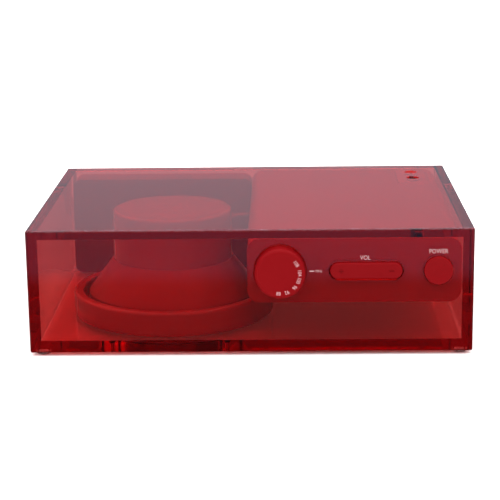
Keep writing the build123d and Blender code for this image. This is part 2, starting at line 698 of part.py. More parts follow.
def control_fascia():
    """Front of the housing, with a rim inside the tube, board posts and the rocker's lugs."""
    face = rounded_y(HOUSING_X, HOUSING_Z, HOUSING_W, HOUSING_H, HOUSING_CORNER_R, FASCIA_FRONT, FASCIA_BACK)
    rim_inset = 2 * (HOUSING_WALL + SLIP)
    rim_back = FASCIA_BACK + FASCIA_RIM_D
    rim = rounded_y(
        HOUSING_X, HOUSING_Z, HOUSING_W - rim_inset, HOUSING_H - rim_inset,
        HOUSING_CORNER_R - HOUSING_WALL - SLIP, FASCIA_BACK, rim_back,
    )
    hollow_inset = rim_inset + 2 * FASCIA_RIM
    rim -= rounded_y(
        HOUSING_X, HOUSING_Z, HOUSING_W - hollow_inset, HOUSING_H - hollow_inset,
        HOUSING_CORNER_R - HOUSING_WALL - SLIP - FASCIA_RIM, FASCIA_BACK - 1, rim_back + 1,
    )
    face += rim
    for x, z in BOARD_POSTS:
        face += rod_y(x, FASCIA_BACK - 0.5, CONTROL_BOARD_Y, z, POST_R)
        face -= rod_y(x, FASCIA_BACK + 0.5, CONTROL_BOARD_Y + 1, z, M25_R + SCREW_FIT)
    for side in (-1, 1):
        near = CONTROL_Z + side * (ROCKER_H / 2 + ROCKER_GAP + LUG_GAP)
        z0, z1 = sorted((near, near + side * LUG_T))
        half_w = LUG_W / 2
        face += block(ROCKER_X - half_w, ROCKER_X + half_w, FASCIA_BACK - 0.5, PIN_Y + 2.4, z0, z1)
    face -= rod_z(ROCKER_X, PIN_Y, CONTROL_Z - ROCKER_H, CONTROL_Z + ROCKER_H, ROCKER_PIN_R + SCREW_FIT)
    face -= rod_y(KNOB_X, FASCIA_FRONT - 1, FASCIA_BACK + 1, CONTROL_Z, SHAFT_R + 0.5)
    hole = pill_y(
        ROCKER_X, CONTROL_Z, ROCKER_L + 2 * ROCKER_GAP, ROCKER_H + 2 * ROCKER_GAP, FASCIA_FRONT - 1,
        FASCIA_BACK,
    )
    face -= hole
    face -= rod_y(BUTTON_X, FASCIA_FRONT - 1, FASCIA_BACK + 1, CONTROL_Z, BUTTON_R + BUTTON_GAP)
    return face


def tuning_knob():
    """Cup-shaped knob with a rounded rim and a hub inside."""
    face = FRONT - KNOB_PROUD
    back = FASCIA_FRONT - 0.6
    knob = rod_y(KNOB_X, face, back, CONTROL_Z, KNOB_R)
    rim = knob.edges().filter_by(GeomType.CIRCLE).sort_by(Axis.Y)[0]
    knob = fillet(rim, KNOB_EDGE_R)
    inside = face + KNOB_FACE_T
    hollow = rod_y(KNOB_X, inside, back + 1, CONTROL_Z, KNOB_R - KNOB_WALL)
    hollow -= rod_y(KNOB_X, inside - 1, back + 1, CONTROL_Z, KNOB_HUB_R)
    knob -= hollow
    return knob - rod_y(KNOB_X, inside, back + 1, CONTROL_Z, SHAFT_R + SCREW_FIT)


def tuning_parts():
    """Variable capacitor and the shaft that the knob turns."""
    body_front = CONTROL_BOARD_Y - TUNER_T
    depth = TUNER_T - 3.0
    half = TUNER_SIDE / 2
    body = block(
        KNOB_X - half, KNOB_X + half, body_front, CONTROL_BOARD_Y, CONTROL_Z - half, CONTROL_Z + half)
    body -= rod_y(KNOB_X, body_front - 1, body_front + depth, CONTROL_Z, SHAFT_R + RUN)
    shaft_front = FRONT - KNOB_PROUD + KNOB_FACE_T
    shaft = rod_y(KNOB_X, shaft_front, body_front + depth - 0.3, CONTROL_Z, SHAFT_R)
    return {"tuning_capacitor": body, "tuning_shaft": shaft}


def volume_rocker():
    """Pill-shaped rocker with sunk plus and minus signs, a pivot ear and two pushers."""
    face = FRONT - ROCKER_PROUD
    back = FASCIA_BACK + 0.8
    rocker = pill_y(ROCKER_X, CONTROL_Z, ROCKER_L, ROCKER_H, face, back)
    rim = [e for e in rocker.edges() if abs(e.center().Y - face) < 1e-3]
    rocker = fillet(rim, ROCKER_EDGE_R)
    half_l = MARK_L / 2
    half_w = MARK_W / 2
    sunk = face + MARK_DEPTH
    for side in (-1, 1):
        x = ROCKER_X + side * ROCKER_ARM
        rocker -= block(x - half_l, x + half_l, face - 1, sunk, CONTROL_Z - half_w, CONTROL_Z + half_w)
    plus_x = ROCKER_X - ROCKER_ARM
    rocker -= block(plus_x - half_w, plus_x + half_w, face - 1, sunk, CONTROL_Z - half_l, CONTROL_Z + half_l)
    ear = LUG_W * 0.4
    rocker += block(
        ROCKER_X - ear, ROCKER_X + ear, back - 1, PIN_Y + 2.2, CONTROL_Z - ROCKER_H / 2,
        CONTROL_Z + ROCKER_H / 2,
    )
    rocker -= rod_z(ROCKER_X, PIN_Y, CONTROL_Z - ROCKER_H, CONTROL_Z + ROCKER_H, ROCKER_PIN_R + RUN)
    pusher_end = CONTROL_BOARD_Y - SWITCH_T - SWITCH_PLUNGER - ROCKER_REST_GAP
    for side in (-1, 1):
        rocker += rod_y(ROCKER_X + side * ROCKER_ARM, back - 1, pusher_end, CONTROL_Z, PUSHER_R)
    return rocker


def rocker_pin():
    """Steel pin through the fascia's lugs and the rocker's ear."""
    reach = ROCKER_H / 2 + ROCKER_GAP + LUG_GAP + 0.9 * LUG_T
    return rod_z(ROCKER_X, PIN_Y, CONTROL_Z - reach, CONTROL_Z + reach, ROCKER_PIN_R)


def volume_switches():
    """Two tactile switches on the control board."""
    switches = []
    half = SWITCH_SIDE / 2
    top = CONTROL_BOARD_Y - SWITCH_T
    for side in (-1, 1):
        x = ROCKER_X + side * ROCKER_ARM
        body = block(x - half, x + half, top, CONTROL_BOARD_Y, CONTROL_Z - half, CONTROL_Z + half)
        switches.append(body + rod_y(x, top - SWITCH_PLUNGER, top, CONTROL_Z, PUSHER_R))
    return Compound(switches)


def power_parts():
    """Dished push button, its stem and the latching switch behind it."""
    face = FRONT - BUTTON_PROUD
    back = FASCIA_BACK + SLIP + BUTTON_FLANGE_T
    button = rod_y(BUTTON_X, face, back, CONTROL_Z, BUTTON_R)
    rim = button.edges().filter_by(GeomType.CIRCLE).sort_by(Axis.Y)[0]
    button = fillet(rim, BUTTON_EDGE_R)
    dish = BUTTON_DISH_R - BUTTON_DISH_DEPTH
    button -= Pos(BUTTON_X, face - dish, CONTROL_Z) * Sphere(BUTTON_DISH_R)
    button += rod_y(BUTTON_X, FASCIA_BACK + SLIP, back, CONTROL_Z, BUTTON_R + BUTTON_FLANGE)
    boss_end = back + 1.6
    button += rod_y(BUTTON_X, back - 1, boss_end, CONTROL_Z, 2 * STEM_R)
    stem_start = back + 0.4
    button -= rod_y(BUTTON_X, stem_start, boss_end + 1, CONTROL_Z, STEM_R + SCREW_FIT)
    half = POWER_SWITCH_SIDE / 2
    switch_front = CONTROL_BOARD_Y - POWER_SWITCH_T
    switch = block(BUTTON_X - half, BUTTON_X + half, switch_front, CONTROL_BOARD_Y, CONTROL_Z - half,
                   CONTROL_Z + half)
    bore_end = CONTROL_BOARD_Y - 0.2
    switch -= rod_y(BUTTON_X, switch_front - 1, bore_end, CONTROL_Z, STEM_R + RUN)
    stem = rod_y(BUTTON_X, stem_start, bore_end - BUTTON_TRAVEL - 0.2, CONTROL_Z, STEM_R)
    return {"power_button": button, "power_stem": stem, "power_switch": switch}


# ---- Boards and sockets ----------------------------------------------------------------------------
def control_board():
    """Upright board behind the fascia."""
    z0 = HOUSING_BOTTOM + HOUSING_WALL + 1.0
    z1 = HOUSING_TOP - HOUSING_WALL - 1.0
    x0 = HOUSING_LEFT + HOUSING_WALL + 0.5
    x1 = HOUSING_RIGHT - HOUSING_WALL - 0.5
    board = block(x0, x1, CONTROL_BOARD_Y, CONTROL_BOARD_Y + BOARD_T, z0, z1)
    upright = board.edges().filter_by(Axis.Y)
    board = fillet(upright, HOUSING_CORNER_R - HOUSING_WALL)
    for x, z in BOARD_POSTS:
        board -= rod_y(x, CONTROL_BOARD_Y - 1, CONTROL_BOARD_Y + BOARD_T + 1, z, M25_R + SCREW_HOLE_GAP)
    return board


def main_board():
    """Flat board on the housing's posts."""
    board = block(
        MAIN_BOARD_LEFT, MAIN_BOARD_RIGHT, MAIN_BOARD_FRONT, MAIN_BOARD_REAR, MAIN_BOARD_Z, MAIN_BOARD_TOP)
    for x, y in MAIN_POSTS:
        board -= rod_z(x, y, MAIN_BOARD_Z - 1, MAIN_BOARD_TOP + 1, M25_R + SCREW_HOLE_GAP)
    return board


def board_screws():
    """Pan-head screws of both boards."""
    screws = []
    for x, y in MAIN_POSTS:
        head = rod_z(x, y, MAIN_BOARD_TOP, MAIN_BOARD_TOP + PAN_HEAD_H, PAN_HEAD_R)
        screws.append(head + rod_z(x, y, MAIN_BOARD_TOP - BOARD_SCREW_L, MAIN_BOARD_TOP + 0.5, M25_R))
    back = CONTROL_BOARD_Y + BOARD_T
    for x, z in BOARD_POSTS:
        head = rod_y(x, back, back + PAN_HEAD_H, z, PAN_HEAD_R)
        screws.append(head + rod_y(x, back - BOARD_SCREW_L, back + 0.5, z, M25_R))
    return Compound(screws)


def board_parts():
    """Amplifier, tuner, coils, capacitors and the ribbon between the boards."""
    z = MAIN_BOARD_TOP
    amp_x = KNOB_X + 18.0
    amp_y = SPEAKER_Y + 30.0
    parts = {}
    parts["amplifier_chip"] = block(amp_x - 7, amp_x + 7, amp_y - 5, amp_y + 5, z, z + 2.0)
    sink_z = z + 2.0
    sink = block(amp_x - 11, amp_x + 11, amp_y - 8, amp_y + 8, sink_z, sink_z + 2.0)
    for i in range(6):
        x = amp_x - 11 + i * 4.16
        sink += block(x, x + 1.2, amp_y - 8, amp_y + 8, sink_z + 1.5, sink_z + 9.0)
    parts["heat_sink"] = sink
    tuner_x = KNOB_X + 20.0
    tuner_y = CONTROL_BOARD_Y + 28.0
    parts["tuner_chip"] = block(tuner_x - 4, tuner_x + 4, tuner_y - 4, tuner_y + 4, z, z + 1.4)
    parts["tuner_coils"] = Compound([
        block(tuner_x + 10 + i * 10, tuner_x + 17 + i * 10, tuner_y - 3.5, tuner_y + 3.5, z, z + 10.0)
        for i in range(3)
    ])
    cap_y = amp_y - 20.0
    parts["filter_capacitors"] = Compound([
        rod_z(amp_x + 28 + i * 14, cap_y, z, z + 15.0, 5.0) for i in range(3)
    ])
    back = CONTROL_BOARD_Y + BOARD_T
    low = z + 0.5
    path_y = [(back, CONTROL_Z), (back + 8.0, CONTROL_Z), (back + 8.0, low), (back + BOARD_TO_BOARD, low)]
    centre = Plane(origin=(ROCKER_X, 0, 0), x_dir=(0, 1, 0), z_dir=(1, 0, 0))
    with BuildLine(centre) as route:
        FilletPolyline(*path_y, radius=[3.6, 3.6])
    ribbon_t = 0.5
    profile = Plane(origin=route.line @ 0, z_dir=(0, 1, 0), x_dir=(1, 0, 0)) * Rectangle(14.0, ribbon_t)
    parts["board_ribbon"] = sweep(profile, path=route.line)
    return parts


def jack_plate():
    """Raised plate in the housing's top, cut for both sockets."""
    half_w = JACK_PLATE_W / 2
    plate = block(
        SOCKET_X - half_w, SOCKET_X + half_w, JACK_PLATE_FRONT, JACK_PLATE_REAR, JACK_PLATE_BOTTOM,
        CEILING - SLIP,
    )
    plate += block(
        SOCKET_X - half_w, SOCKET_X + half_w, JACK_PLATE_FRONT - JACK_FLANGE, JACK_PLATE_REAR + JACK_FLANGE,
        JACK_PLATE_BOTTOM - JACK_FLANGE, JACK_PLATE_BOTTOM,
    )
    for y in (REAR_SOCKET_Y, FRONT_SOCKET_Y):
        plate -= rod_z(SOCKET_X, y, JACK_PLATE_BOTTOM - 5, TOP, SOCKET_HOLE_R)
    return plate


def socket(y, bore_r, bore_l):
    """Panel socket: a box under the plate and a round nose up into the top's hole."""
    body_top = JACK_PLATE_BOTTOM - JACK_FLANGE
    body_bottom = JACK_PLATE_BOTTOM - JACK_BOARD_DROP
    nose_top = TOP - SOCKET_SUNK
    half = SOCKET_BODY / 2
    body = block(SOCKET_X - half, SOCKET_X + half, y - half, y + half, body_bottom, body_top)
    body += rod_z(SOCKET_X, y, body_top - 1, nose_top, SOCKET_HOLE_R - SOCKET_NOSE_GAP)
    return body - rod_z(SOCKET_X, y, nose_top - bore_l, nose_top + 1, bore_r)


def socket_parts():
    """Both sockets with their small board and its pillars."""
    nose_top = TOP - SOCKET_SUNK
    dc_socket = socket(FRONT_SOCKET_Y, DC_BORE_R, DC_BORE_L)
    dc_socket += rod_z(SOCKET_X, FRONT_SOCKET_Y, nose_top - DC_BORE_L - 1, nose_top - 1.5, DC_PIN_R)
    board_top = JACK_PLATE_BOTTOM - JACK_BOARD_DROP
    board_z = board_top - BOARD_T
    half = SOCKET_BODY / 2 + JACK_BOARD_RIM
    y0 = FRONT_SOCKET_Y - half
    y1 = REAR_SOCKET_Y + half
    pillars = [rod_z(SOCKET_X, y, MAIN_BOARD_TOP, board_z, PILLAR_R)
               for y in (y0 + PILLAR_R + 0.5, MAIN_BOARD_REAR - PILLAR_R - 1.5)]
    return {
        "jack_plate": jack_plate(),
        "audio_socket": socket(REAR_SOCKET_Y, AUDIO_BORE_R, AUDIO_BORE_L),
        "dc_socket": dc_socket,
        "jack_board": block(SOCKET_X - half, SOCKET_X + half, y0, y1, board_z, board_top),
        "jack_pillars": Compound(pillars),
    }


# ---- Battery box -----------------------------------------------------------------------------------
def row_bottom(row):
    """Height of a row of cells."""
    return BAY_BOTTOM + row * (ROW_H + ROW_WALL)


def battery_wire_z():
    """Height of the battery wires."""
    return row_bottom(CELL_ROWS - 1) + ROW_H - 3.0


def battery_wire_places():
    """Where the two battery wires pass, from front to back."""
    middle = BAY_FRONT + ROW_H / 2
    return (middle, middle + WIRE_PITCH)


def battery_box():
    """Three rows open to the back, with lugs for the door's hinge."""
    box = block(BOX_LEFT, BOX_RIGHT, BOX_FRONT, IN_REAR, FLOOR, BOX_HIGH)
    box = fillet(box.edges().filter_by(Axis.Y), BOX_CORNER_R)
    for row in range(CELL_ROWS):
        z = row_bottom(row)
        box -= block(BAY_LEFT, BAY_RIGHT, BAY_FRONT, IN_REAR + 1, z, z + ROW_H)
    for x, z in BOX_SCREWS:
        box -= rod_y(x, IN_REAR - PILOT_DEPTH, IN_REAR + 1, z, M25_R + SCREW_FIT)
    for z0, z1 in hinge_lugs():
        box += block(HINGE_X - HINGE_R, HINGE_X + HINGE_R, IN_REAR - 1.0, HINGE_Y, z0, z1)
        box += rod_z(HINGE_X, HINGE_Y, z0, z1, HINGE_R)
    box -= rod_z(HINGE_X, HINGE_Y, BAY_BOTTOM - 5, BAY_TOP + 5, HINGE_PIN_R + SCREW_FIT)
    for y in battery_wire_places():
        box -= rod_x(BAY_RIGHT - 1, BOX_RIGHT + 1, y, battery_wire_z(), WIRE_R + RUN)
    return box


def hinge_lugs():
    """Heights of the two hinge lugs."""
    return (
        (BAY_BOTTOM + SLIP, BAY_BOTTOM + SLIP + HINGE_LUG_L),
        (BAY_TOP - SLIP - HINGE_LUG_L, BAY_TOP - SLIP),
    )


def battery_door():
    """Flush door with a barrel at its right edge and a finger notch at its left."""
    x0 = BAY_LEFT + DOOR_GAP
    y0 = REAR - DOOR_T
    z0 = BAY_BOTTOM + DOOR_GAP
    z1 = BAY_TOP - DOOR_GAP
    door = block(x0, HINGE_X, y0, REAR, z0, z1)
    door += rod_z(HINGE_X, HINGE_Y, z0, z1, HINGE_R)
    lower, upper = hinge_lugs()
    lug_room = HINGE_R + DOOR_GAP + 0.6
    for cut_low, cut_high in ((lower[0] - 1, lower[1] + DOOR_GAP), (upper[0] - DOOR_GAP, upper[1] + 1)):
        door -= block(HINGE_X - lug_room, BOX_RIGHT, IN_REAR, REAR + 1, cut_low, cut_high)
    door -= rod_z(HINGE_X, HINGE_Y, z0 - 1, z1 + 1, HINGE_PIN_R + RUN)
    middle = (z0 + z1) / 2
    door -= Pos(x0 + NOTCH_FROM_END, REAR + NOTCH_R - NOTCH_DEPTH, middle) * Sphere(NOTCH_R)
    rib_y = BAY_FRONT + CELL_D + RIB_TO_CELL
    half_l = RIB_L / 2
    half_t = RIB_T / 2
    for row in range(CELL_ROWS):
        z = row_bottom(row) + ROW_H / 2
        for x in (BAY_LEFT + BAY_L * 0.25, BAY_LEFT + BAY_L * 0.75):
            door += block(x - half_l, x + half_l, rib_y, y0 + 0.5, z - half_t, z + half_t)
    return door


def hinge_pin():
    """Steel pin through both lugs and the door's barrel."""
    low = hinge_lugs()[0][0]
    high = hinge_lugs()[1][1]
    return rod_z(HINGE_X, HINGE_Y, low + 0.2, high - 0.2, HINGE_PIN_R)


def spring_end(row):
    """Side of a row that has the coil spring: -1 is left, 1 is right."""
    return 1 if row % 2 == 0 else -1


def battery_contacts():
    """Flat contact plates at both ends of each row."""
    y = BAY_FRONT + ROW_H / 2
    half = CONTACT_SIDE / 2
    plates = []
    for row in range(CELL_ROWS):
        z = row_bottom(row) + ROW_H / 2
        for x0 in (BAY_LEFT, BAY_RIGHT - CONTACT_T):
            plates.append(block(x0, x0 + CONTACT_T, y - half, y + half, z - half, z + half))
    return Compound(plates)


def battery_springs():
    """One coil spring for each row, standing on its plate."""
    y = BAY_FRONT + ROW_H / 2
    pitch = SPRING_H / SPRING_TURNS
    coil_path = Helix(pitch=pitch, height=SPRING_H, radius=SPRING_R)
    start = Plane(origin=coil_path @ 0, z_dir=coil_path % 0)
    coil = sweep(start * Circle(SPRING_WIRE_R), path=coil_path, is_frenet=True)
    springs = []
    for row in range(CELL_ROWS):
        z = row_bottom(row) + ROW_H / 2
        stand_off = CONTACT_T + 2 * SPRING_WIRE_R
        if spring_end(row) > 0:
            place = Pos(BAY_RIGHT - stand_off, y, z) * Rot(0, -90, 0)
        else:
            place = Pos(BAY_LEFT + stand_off, y, z) * Rot(0, 90, 0)
        springs.append(place * coil)
    return Compound(springs)


# ---- Wires and antenna -------------------------------------------------------------------------------
def corner_radii(points):
    """Largest fair radius at each inner point of a route of straight runs."""
    radii = []
    for before, here, after in zip(points, points[1:], points[2:]):
        run_in = Vector(*here) - Vector(*before)
        run_out = Vector(*after) - Vector(*here)
        half_turn = math.radians(run_in.get_angle(run_out) / 2)
        radii.append(BEND_SHARE * min(run_in.length, run_out.length) / math.tan(half_turn))
    return radii


def tube(points):
    """Round wire along straight runs joined by tangent arcs."""
    radii = corner_radii(points)
    with BuildLine() as route:
        FilletPolyline(*points, radius=radii)
    path = route.wire()
    start = Plane(origin=path @ 0, z_dir=path % 0)
    wire = sweep(start * Circle(WIRE_R), path=path)
    expected = math.pi * WIRE_R ** 2 * path.length
    shown = ", ".join(f"{radius:.1f}" for radius in radii)
    print(f"wire {path.length:.1f} mm, radii {shown}, volume {wire.volume:.1f} of {expected:.1f}")
    return wire


def speaker_wire_z():
    """Height at which the speaker wires leave the driver, over the ring's rim."""
    return LIP_Z + WIRE_ABOVE_LIP + WIRE_R


def speaker_terminals():
    """Tag strip on the upright part of the basket, at its back."""
    y = SPEAKER_Y + BOWL_R
    half = TERMINAL_W / 2
    top = speaker_wire_z() + TERMINAL_ABOVE
    return block(SPEAKER_X - half, SPEAKER_X + half, y, y + TERMINAL_T, FLANGE_TOP, top)


def speaker_wires():
    """Two leads from the driver's tag strip to the control housing."""
    wires = []
    y = SPEAKER_Y + BOWL_R + TERMINAL_T
    z = speaker_wire_z()
    for i in range(2):
        shift = i * WIRE_PITCH
        x = SPEAKER_X + 2.0 - 2 * shift
        points = [
            (x, y, z),
            (x, y + 8.0 + shift, z),
            (x + 14.0 + shift, WIRE_HOLE_Y - 1.0 + shift, z + 8.0),
            (HOUSING_LEFT - 14.0, WIRE_HOLE_Y + shift, WIRE_HOLE_Z),
            (HOUSING_LEFT + 8.0, WIRE_HOLE_Y + shift, WIRE_HOLE_Z),
        ]
        wires.append(tube(points))
    return Compound(wires)


def battery_wires():
    """Two leads from the battery contacts into the control housing."""
    z = battery_wire_z()
    drop = z - 14.0
    wires = []
    for y in battery_wire_places():
        points = [(BAY_RIGHT, y, z), (HOUSING_LEFT + 12.0, y, z), (HOUSING_LEFT + 12.0, y, drop)]
        wires.append(tube(points))
    return Compound(wires)


def antenna_strip():
    """Thin copper strip inside the housing's right wall."""
    x = HOUSING_RIGHT - HOUSING_WALL
    front = CONTROL_BOARD_Y + 8.0
    back = IN_REAR - HOUSING_REAR_WALL - 10.0
    half = ANTENNA_W / 2
    return block(x - ANTENNA_T, x, front, back, HOUSING_Z - half, HOUSING_Z + half)


def all_nodes():
    """Every piece of the radio, by node name."""
    walls = case_walls()
    nodes = {
        "top_panel": top_panel(walls["top"]),
        "base_panel": base_panel(walls["base"]),
        "left_panel": walls["left"],
        "right_panel": walls["right"],
        "front_panel": front_panel(),
        "rear_panel": rear_panel(),
        "rear_screws": rear_screws(),
        "feet": feet(),
        "control_housing": control_housing(),
        "control_fascia": control_fascia(),
        "tuning_knob": tuning_knob(),
        "volume_rocker": volume_rocker(),
        "rocker_pin": rocker_pin(),
        "volume_switches": volume_switches(),
        "control_board": control_board(),
        "main_board": main_board(),
        "board_screws": board_screws(),
        "antenna_strip": antenna_strip(),
        "battery_box": battery_box(),
        "battery_door": battery_door(),
        "hinge_pin": hinge_pin(),
        "battery_contacts": battery_contacts(),
        "battery_springs": battery_springs(),
        "speaker_terminals": speaker_terminals(),
        "speaker_wires": speaker_wires(),
        "battery_wires": battery_wires(),
    }
    for group in (speaker_parts(), tuning_parts(), power_parts(), board_parts(), socket_parts()):
        nodes.update(group)
    return nodes


if __name__ == "__main__":
    os.makedirs("parts", exist_ok=True)
    for node, shape in all_nodes().items():
        save(node, shape)
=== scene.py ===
import json
import logging
import math
from dataclasses import dataclass, field
from enum import Enum
from typing import Callable, Sequence

import bmesh
import bpy
from mathutils import Matrix, Vector


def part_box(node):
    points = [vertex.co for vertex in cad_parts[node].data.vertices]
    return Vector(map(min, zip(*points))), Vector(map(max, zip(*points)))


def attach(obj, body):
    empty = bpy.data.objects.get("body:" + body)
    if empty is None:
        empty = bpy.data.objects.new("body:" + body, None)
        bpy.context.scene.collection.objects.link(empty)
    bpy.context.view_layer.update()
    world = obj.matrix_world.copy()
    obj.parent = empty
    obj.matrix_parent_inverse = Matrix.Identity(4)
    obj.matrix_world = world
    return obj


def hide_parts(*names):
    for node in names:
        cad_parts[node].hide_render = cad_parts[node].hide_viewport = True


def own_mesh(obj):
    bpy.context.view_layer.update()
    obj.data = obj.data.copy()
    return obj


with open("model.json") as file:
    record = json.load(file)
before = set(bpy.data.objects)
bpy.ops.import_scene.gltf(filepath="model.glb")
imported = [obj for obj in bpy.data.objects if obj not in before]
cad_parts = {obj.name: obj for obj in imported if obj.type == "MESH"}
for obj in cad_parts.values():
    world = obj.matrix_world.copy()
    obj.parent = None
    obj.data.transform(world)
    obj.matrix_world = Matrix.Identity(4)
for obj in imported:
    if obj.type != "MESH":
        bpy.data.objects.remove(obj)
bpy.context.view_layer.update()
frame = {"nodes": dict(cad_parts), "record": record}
MM = 0.001
CONDENSED = 0.84  # width of printed characters against the built-in typeface
THIN = 0.011  # stroke taken off all round, as a share of the size
CAP_SHARE = 0.69  # height of a capital in the built-in typeface, as a share of its size
NEARLY_ROUND = 0.998  # share of half the height that a fully rounded end is bevelled by
MERGED = 0.06 * MM  # corners of a bevel closer than this become one
BEYOND = 1.0 * MM  # how far a cutting shape stands out of what it cuts
SHAFT_GAP = 0.02 * MM  # knob on its shaft, radial
PIN_GAP = 0.05 * MM  # rocker's ear on its pin, radial
log = logging.getLogger("radio")

Test = Callable[[Vector, Vector], bool]


# ---- Modelling by hand ---------------------------------------------------------------------------
class Along(Enum):
    """Direction that a turned piece or a bar is pulled in."""

    UP = "up"
    BACK = "back"


def deselect() -> None:
    """Lets go of every object."""
    bpy.ops.object.select_all(action="DESELECT")


def take(piece: bpy.types.Object) -> None:
    """Makes one piece the only selected one.

    Args:
        piece: the piece to work on.
    """
    deselect()
    piece.select_set(True)
    bpy.context.view_layer.objects.active = piece


def named(name: str) -> bpy.types.Object:
    """Names the piece just made and puts its place and turn into its mesh.

    Args:
        name: the piece's name.

    Returns:
        The piece.
    """
    piece = bpy.context.active_object
    piece.name = name
    piece.data.name = name
    take(piece)
    bpy.ops.object.transform_apply(location=True, rotation=True, scale=True)
    return piece


def pick_edges(piece: bpy.types.Object, test: Test) -> int:
    """Selects edges of the piece in edit mode.

    Args:
        piece: the piece, which is in edit mode.
        test: takes the middle and the direction of an edge.

    Returns:
        How many were selected.
    """
    bpy.ops.mesh.select_mode(type="EDGE")
    bpy.ops.mesh.select_all(action="DESELECT")
    mesh = bmesh.from_edit_mesh(piece.data)
    count = 0
    for edge in mesh.edges:
        a, b = (v.co for v in edge.verts)
        if test((a + b) / 2, (b - a).normalized()):
            edge.select = True
            count += 1
    mesh.select_flush_mode()
    bmesh.update_edit_mesh(piece.data)
    return count


def round_edges(piece: bpy.types.Object, test: Test, radius: float, segments: int = 4) -> None:
    """Bevels the edges that pass a test.

    Args:
        piece: the piece, in object mode.
        test: which edges.
        radius: the rounding's radius.
        segments: how many faces the rounding has.
    """
    take(piece)
    bpy.ops.object.mode_set(mode="EDIT")
    if pick_edges(piece, test):
        bpy.ops.mesh.bevel(
            offset=radius, segments=segments, profile=0.5, affect="EDGES", clamp_overlap=True
        )
    bpy.ops.object.mode_set(mode="OBJECT")


def modify(piece: bpy.types.Object, kind: str, **settings: object) -> None:
    """Adds one modifier and applies it.

    Args:
        piece: the piece.
        kind: the modifier's type.
        **settings: its settings.
    """
    take(piece)
    modifier = piece.modifiers.new(kind.title(), kind)
    for key, value in settings.items():
        setattr(modifier, key, value)
    bpy.ops.object.modifier_apply(modifier=modifier.name)


def cut(piece: bpy.types.Object, *tools: bpy.types.Object) -> None:
    """Takes the tools' shapes out of the piece and throws the tools away.

    Args:
        piece: the piece.
        *tools: closed shapes.
    """
    for tool in tools:
        modify(piece, "BOOLEAN", operation="DIFFERENCE", object=tool, solver="EXACT")
        bpy.data.objects.remove(tool)


def join(piece: bpy.types.Object, *others: bpy.types.Object) -> bpy.types.Object:
    """Joins others into the piece as loose parts of one mesh.

    Args:
        piece: the piece that stays.
        *others: the pieces that go into it.

    Returns:
        The piece.
    """
    take(piece)
    for other in others:
        other.select_set(True)
    bpy.ops.object.join()
    return piece


def smooth(piece: bpy.types.Object, angle: float = 35.0, edge: float = 0.0) -> bpy.types.Object:
    """Softens the last sharp edges, then shades round stretches smooth and flat ones flat.

    Args:
        piece: the piece.
        angle: degrees up to which neighbours are shaded as one surface.
        edge: width of the fine edge, or 0 for none.

    Returns:
        The piece.
    """
    if edge:
        modify(piece, "BEVEL", width=edge, segments=2, limit_method="ANGLE", angle_limit=math.radians(40),
               miter_outer="MITER_ARC")
    take(piece)
    bpy.ops.object.shade_smooth_by_angle(angle=math.radians(angle))
    modify(piece, "WEIGHTED_NORMAL", mode="FACE_AREA", weight=100, keep_sharp=True)
    return piece


def bar(name: str, low: Sequence[float], high: Sequence[float]) -> bpy.types.Object:
    """Block between two corners, the start of boxy pieces.

    Args:
        name: the piece's name.
        low: lowest corner.
        high: highest corner.

    Returns:
        The block.
    """
    low, high = Vector(low), Vector(high)
    deselect()
    bpy.ops.mesh.primitive_cube_add(size=1.0, location=(low + high) / 2, scale=high - low)
    return named(name)


def rounded_bar(
    name: str, low: Sequence[float], high: Sequence[float], radius: float, segments: int
) -> bpy.types.Object:
    """Block whose four edges from front to back are rounded.

    Args:
        name: the piece's name.
        low: lowest corner.
        high: highest corner.
        radius: the corners' radius.
        segments: faces in each corner.

    Returns:
        The bar.
    """
    piece = bar(name, low, high)
    round_edges(piece, lambda middle, way: abs(way.y) > 0.9, radius, segments)
    take(piece)
    bpy.ops.object.mode_set(mode="EDIT")
    bpy.ops.mesh.select_all(action="SELECT")
    bpy.ops.mesh.remove_doubles(threshold=MERGED)
    bpy.ops.object.mode_set(mode="OBJECT")
    return piece


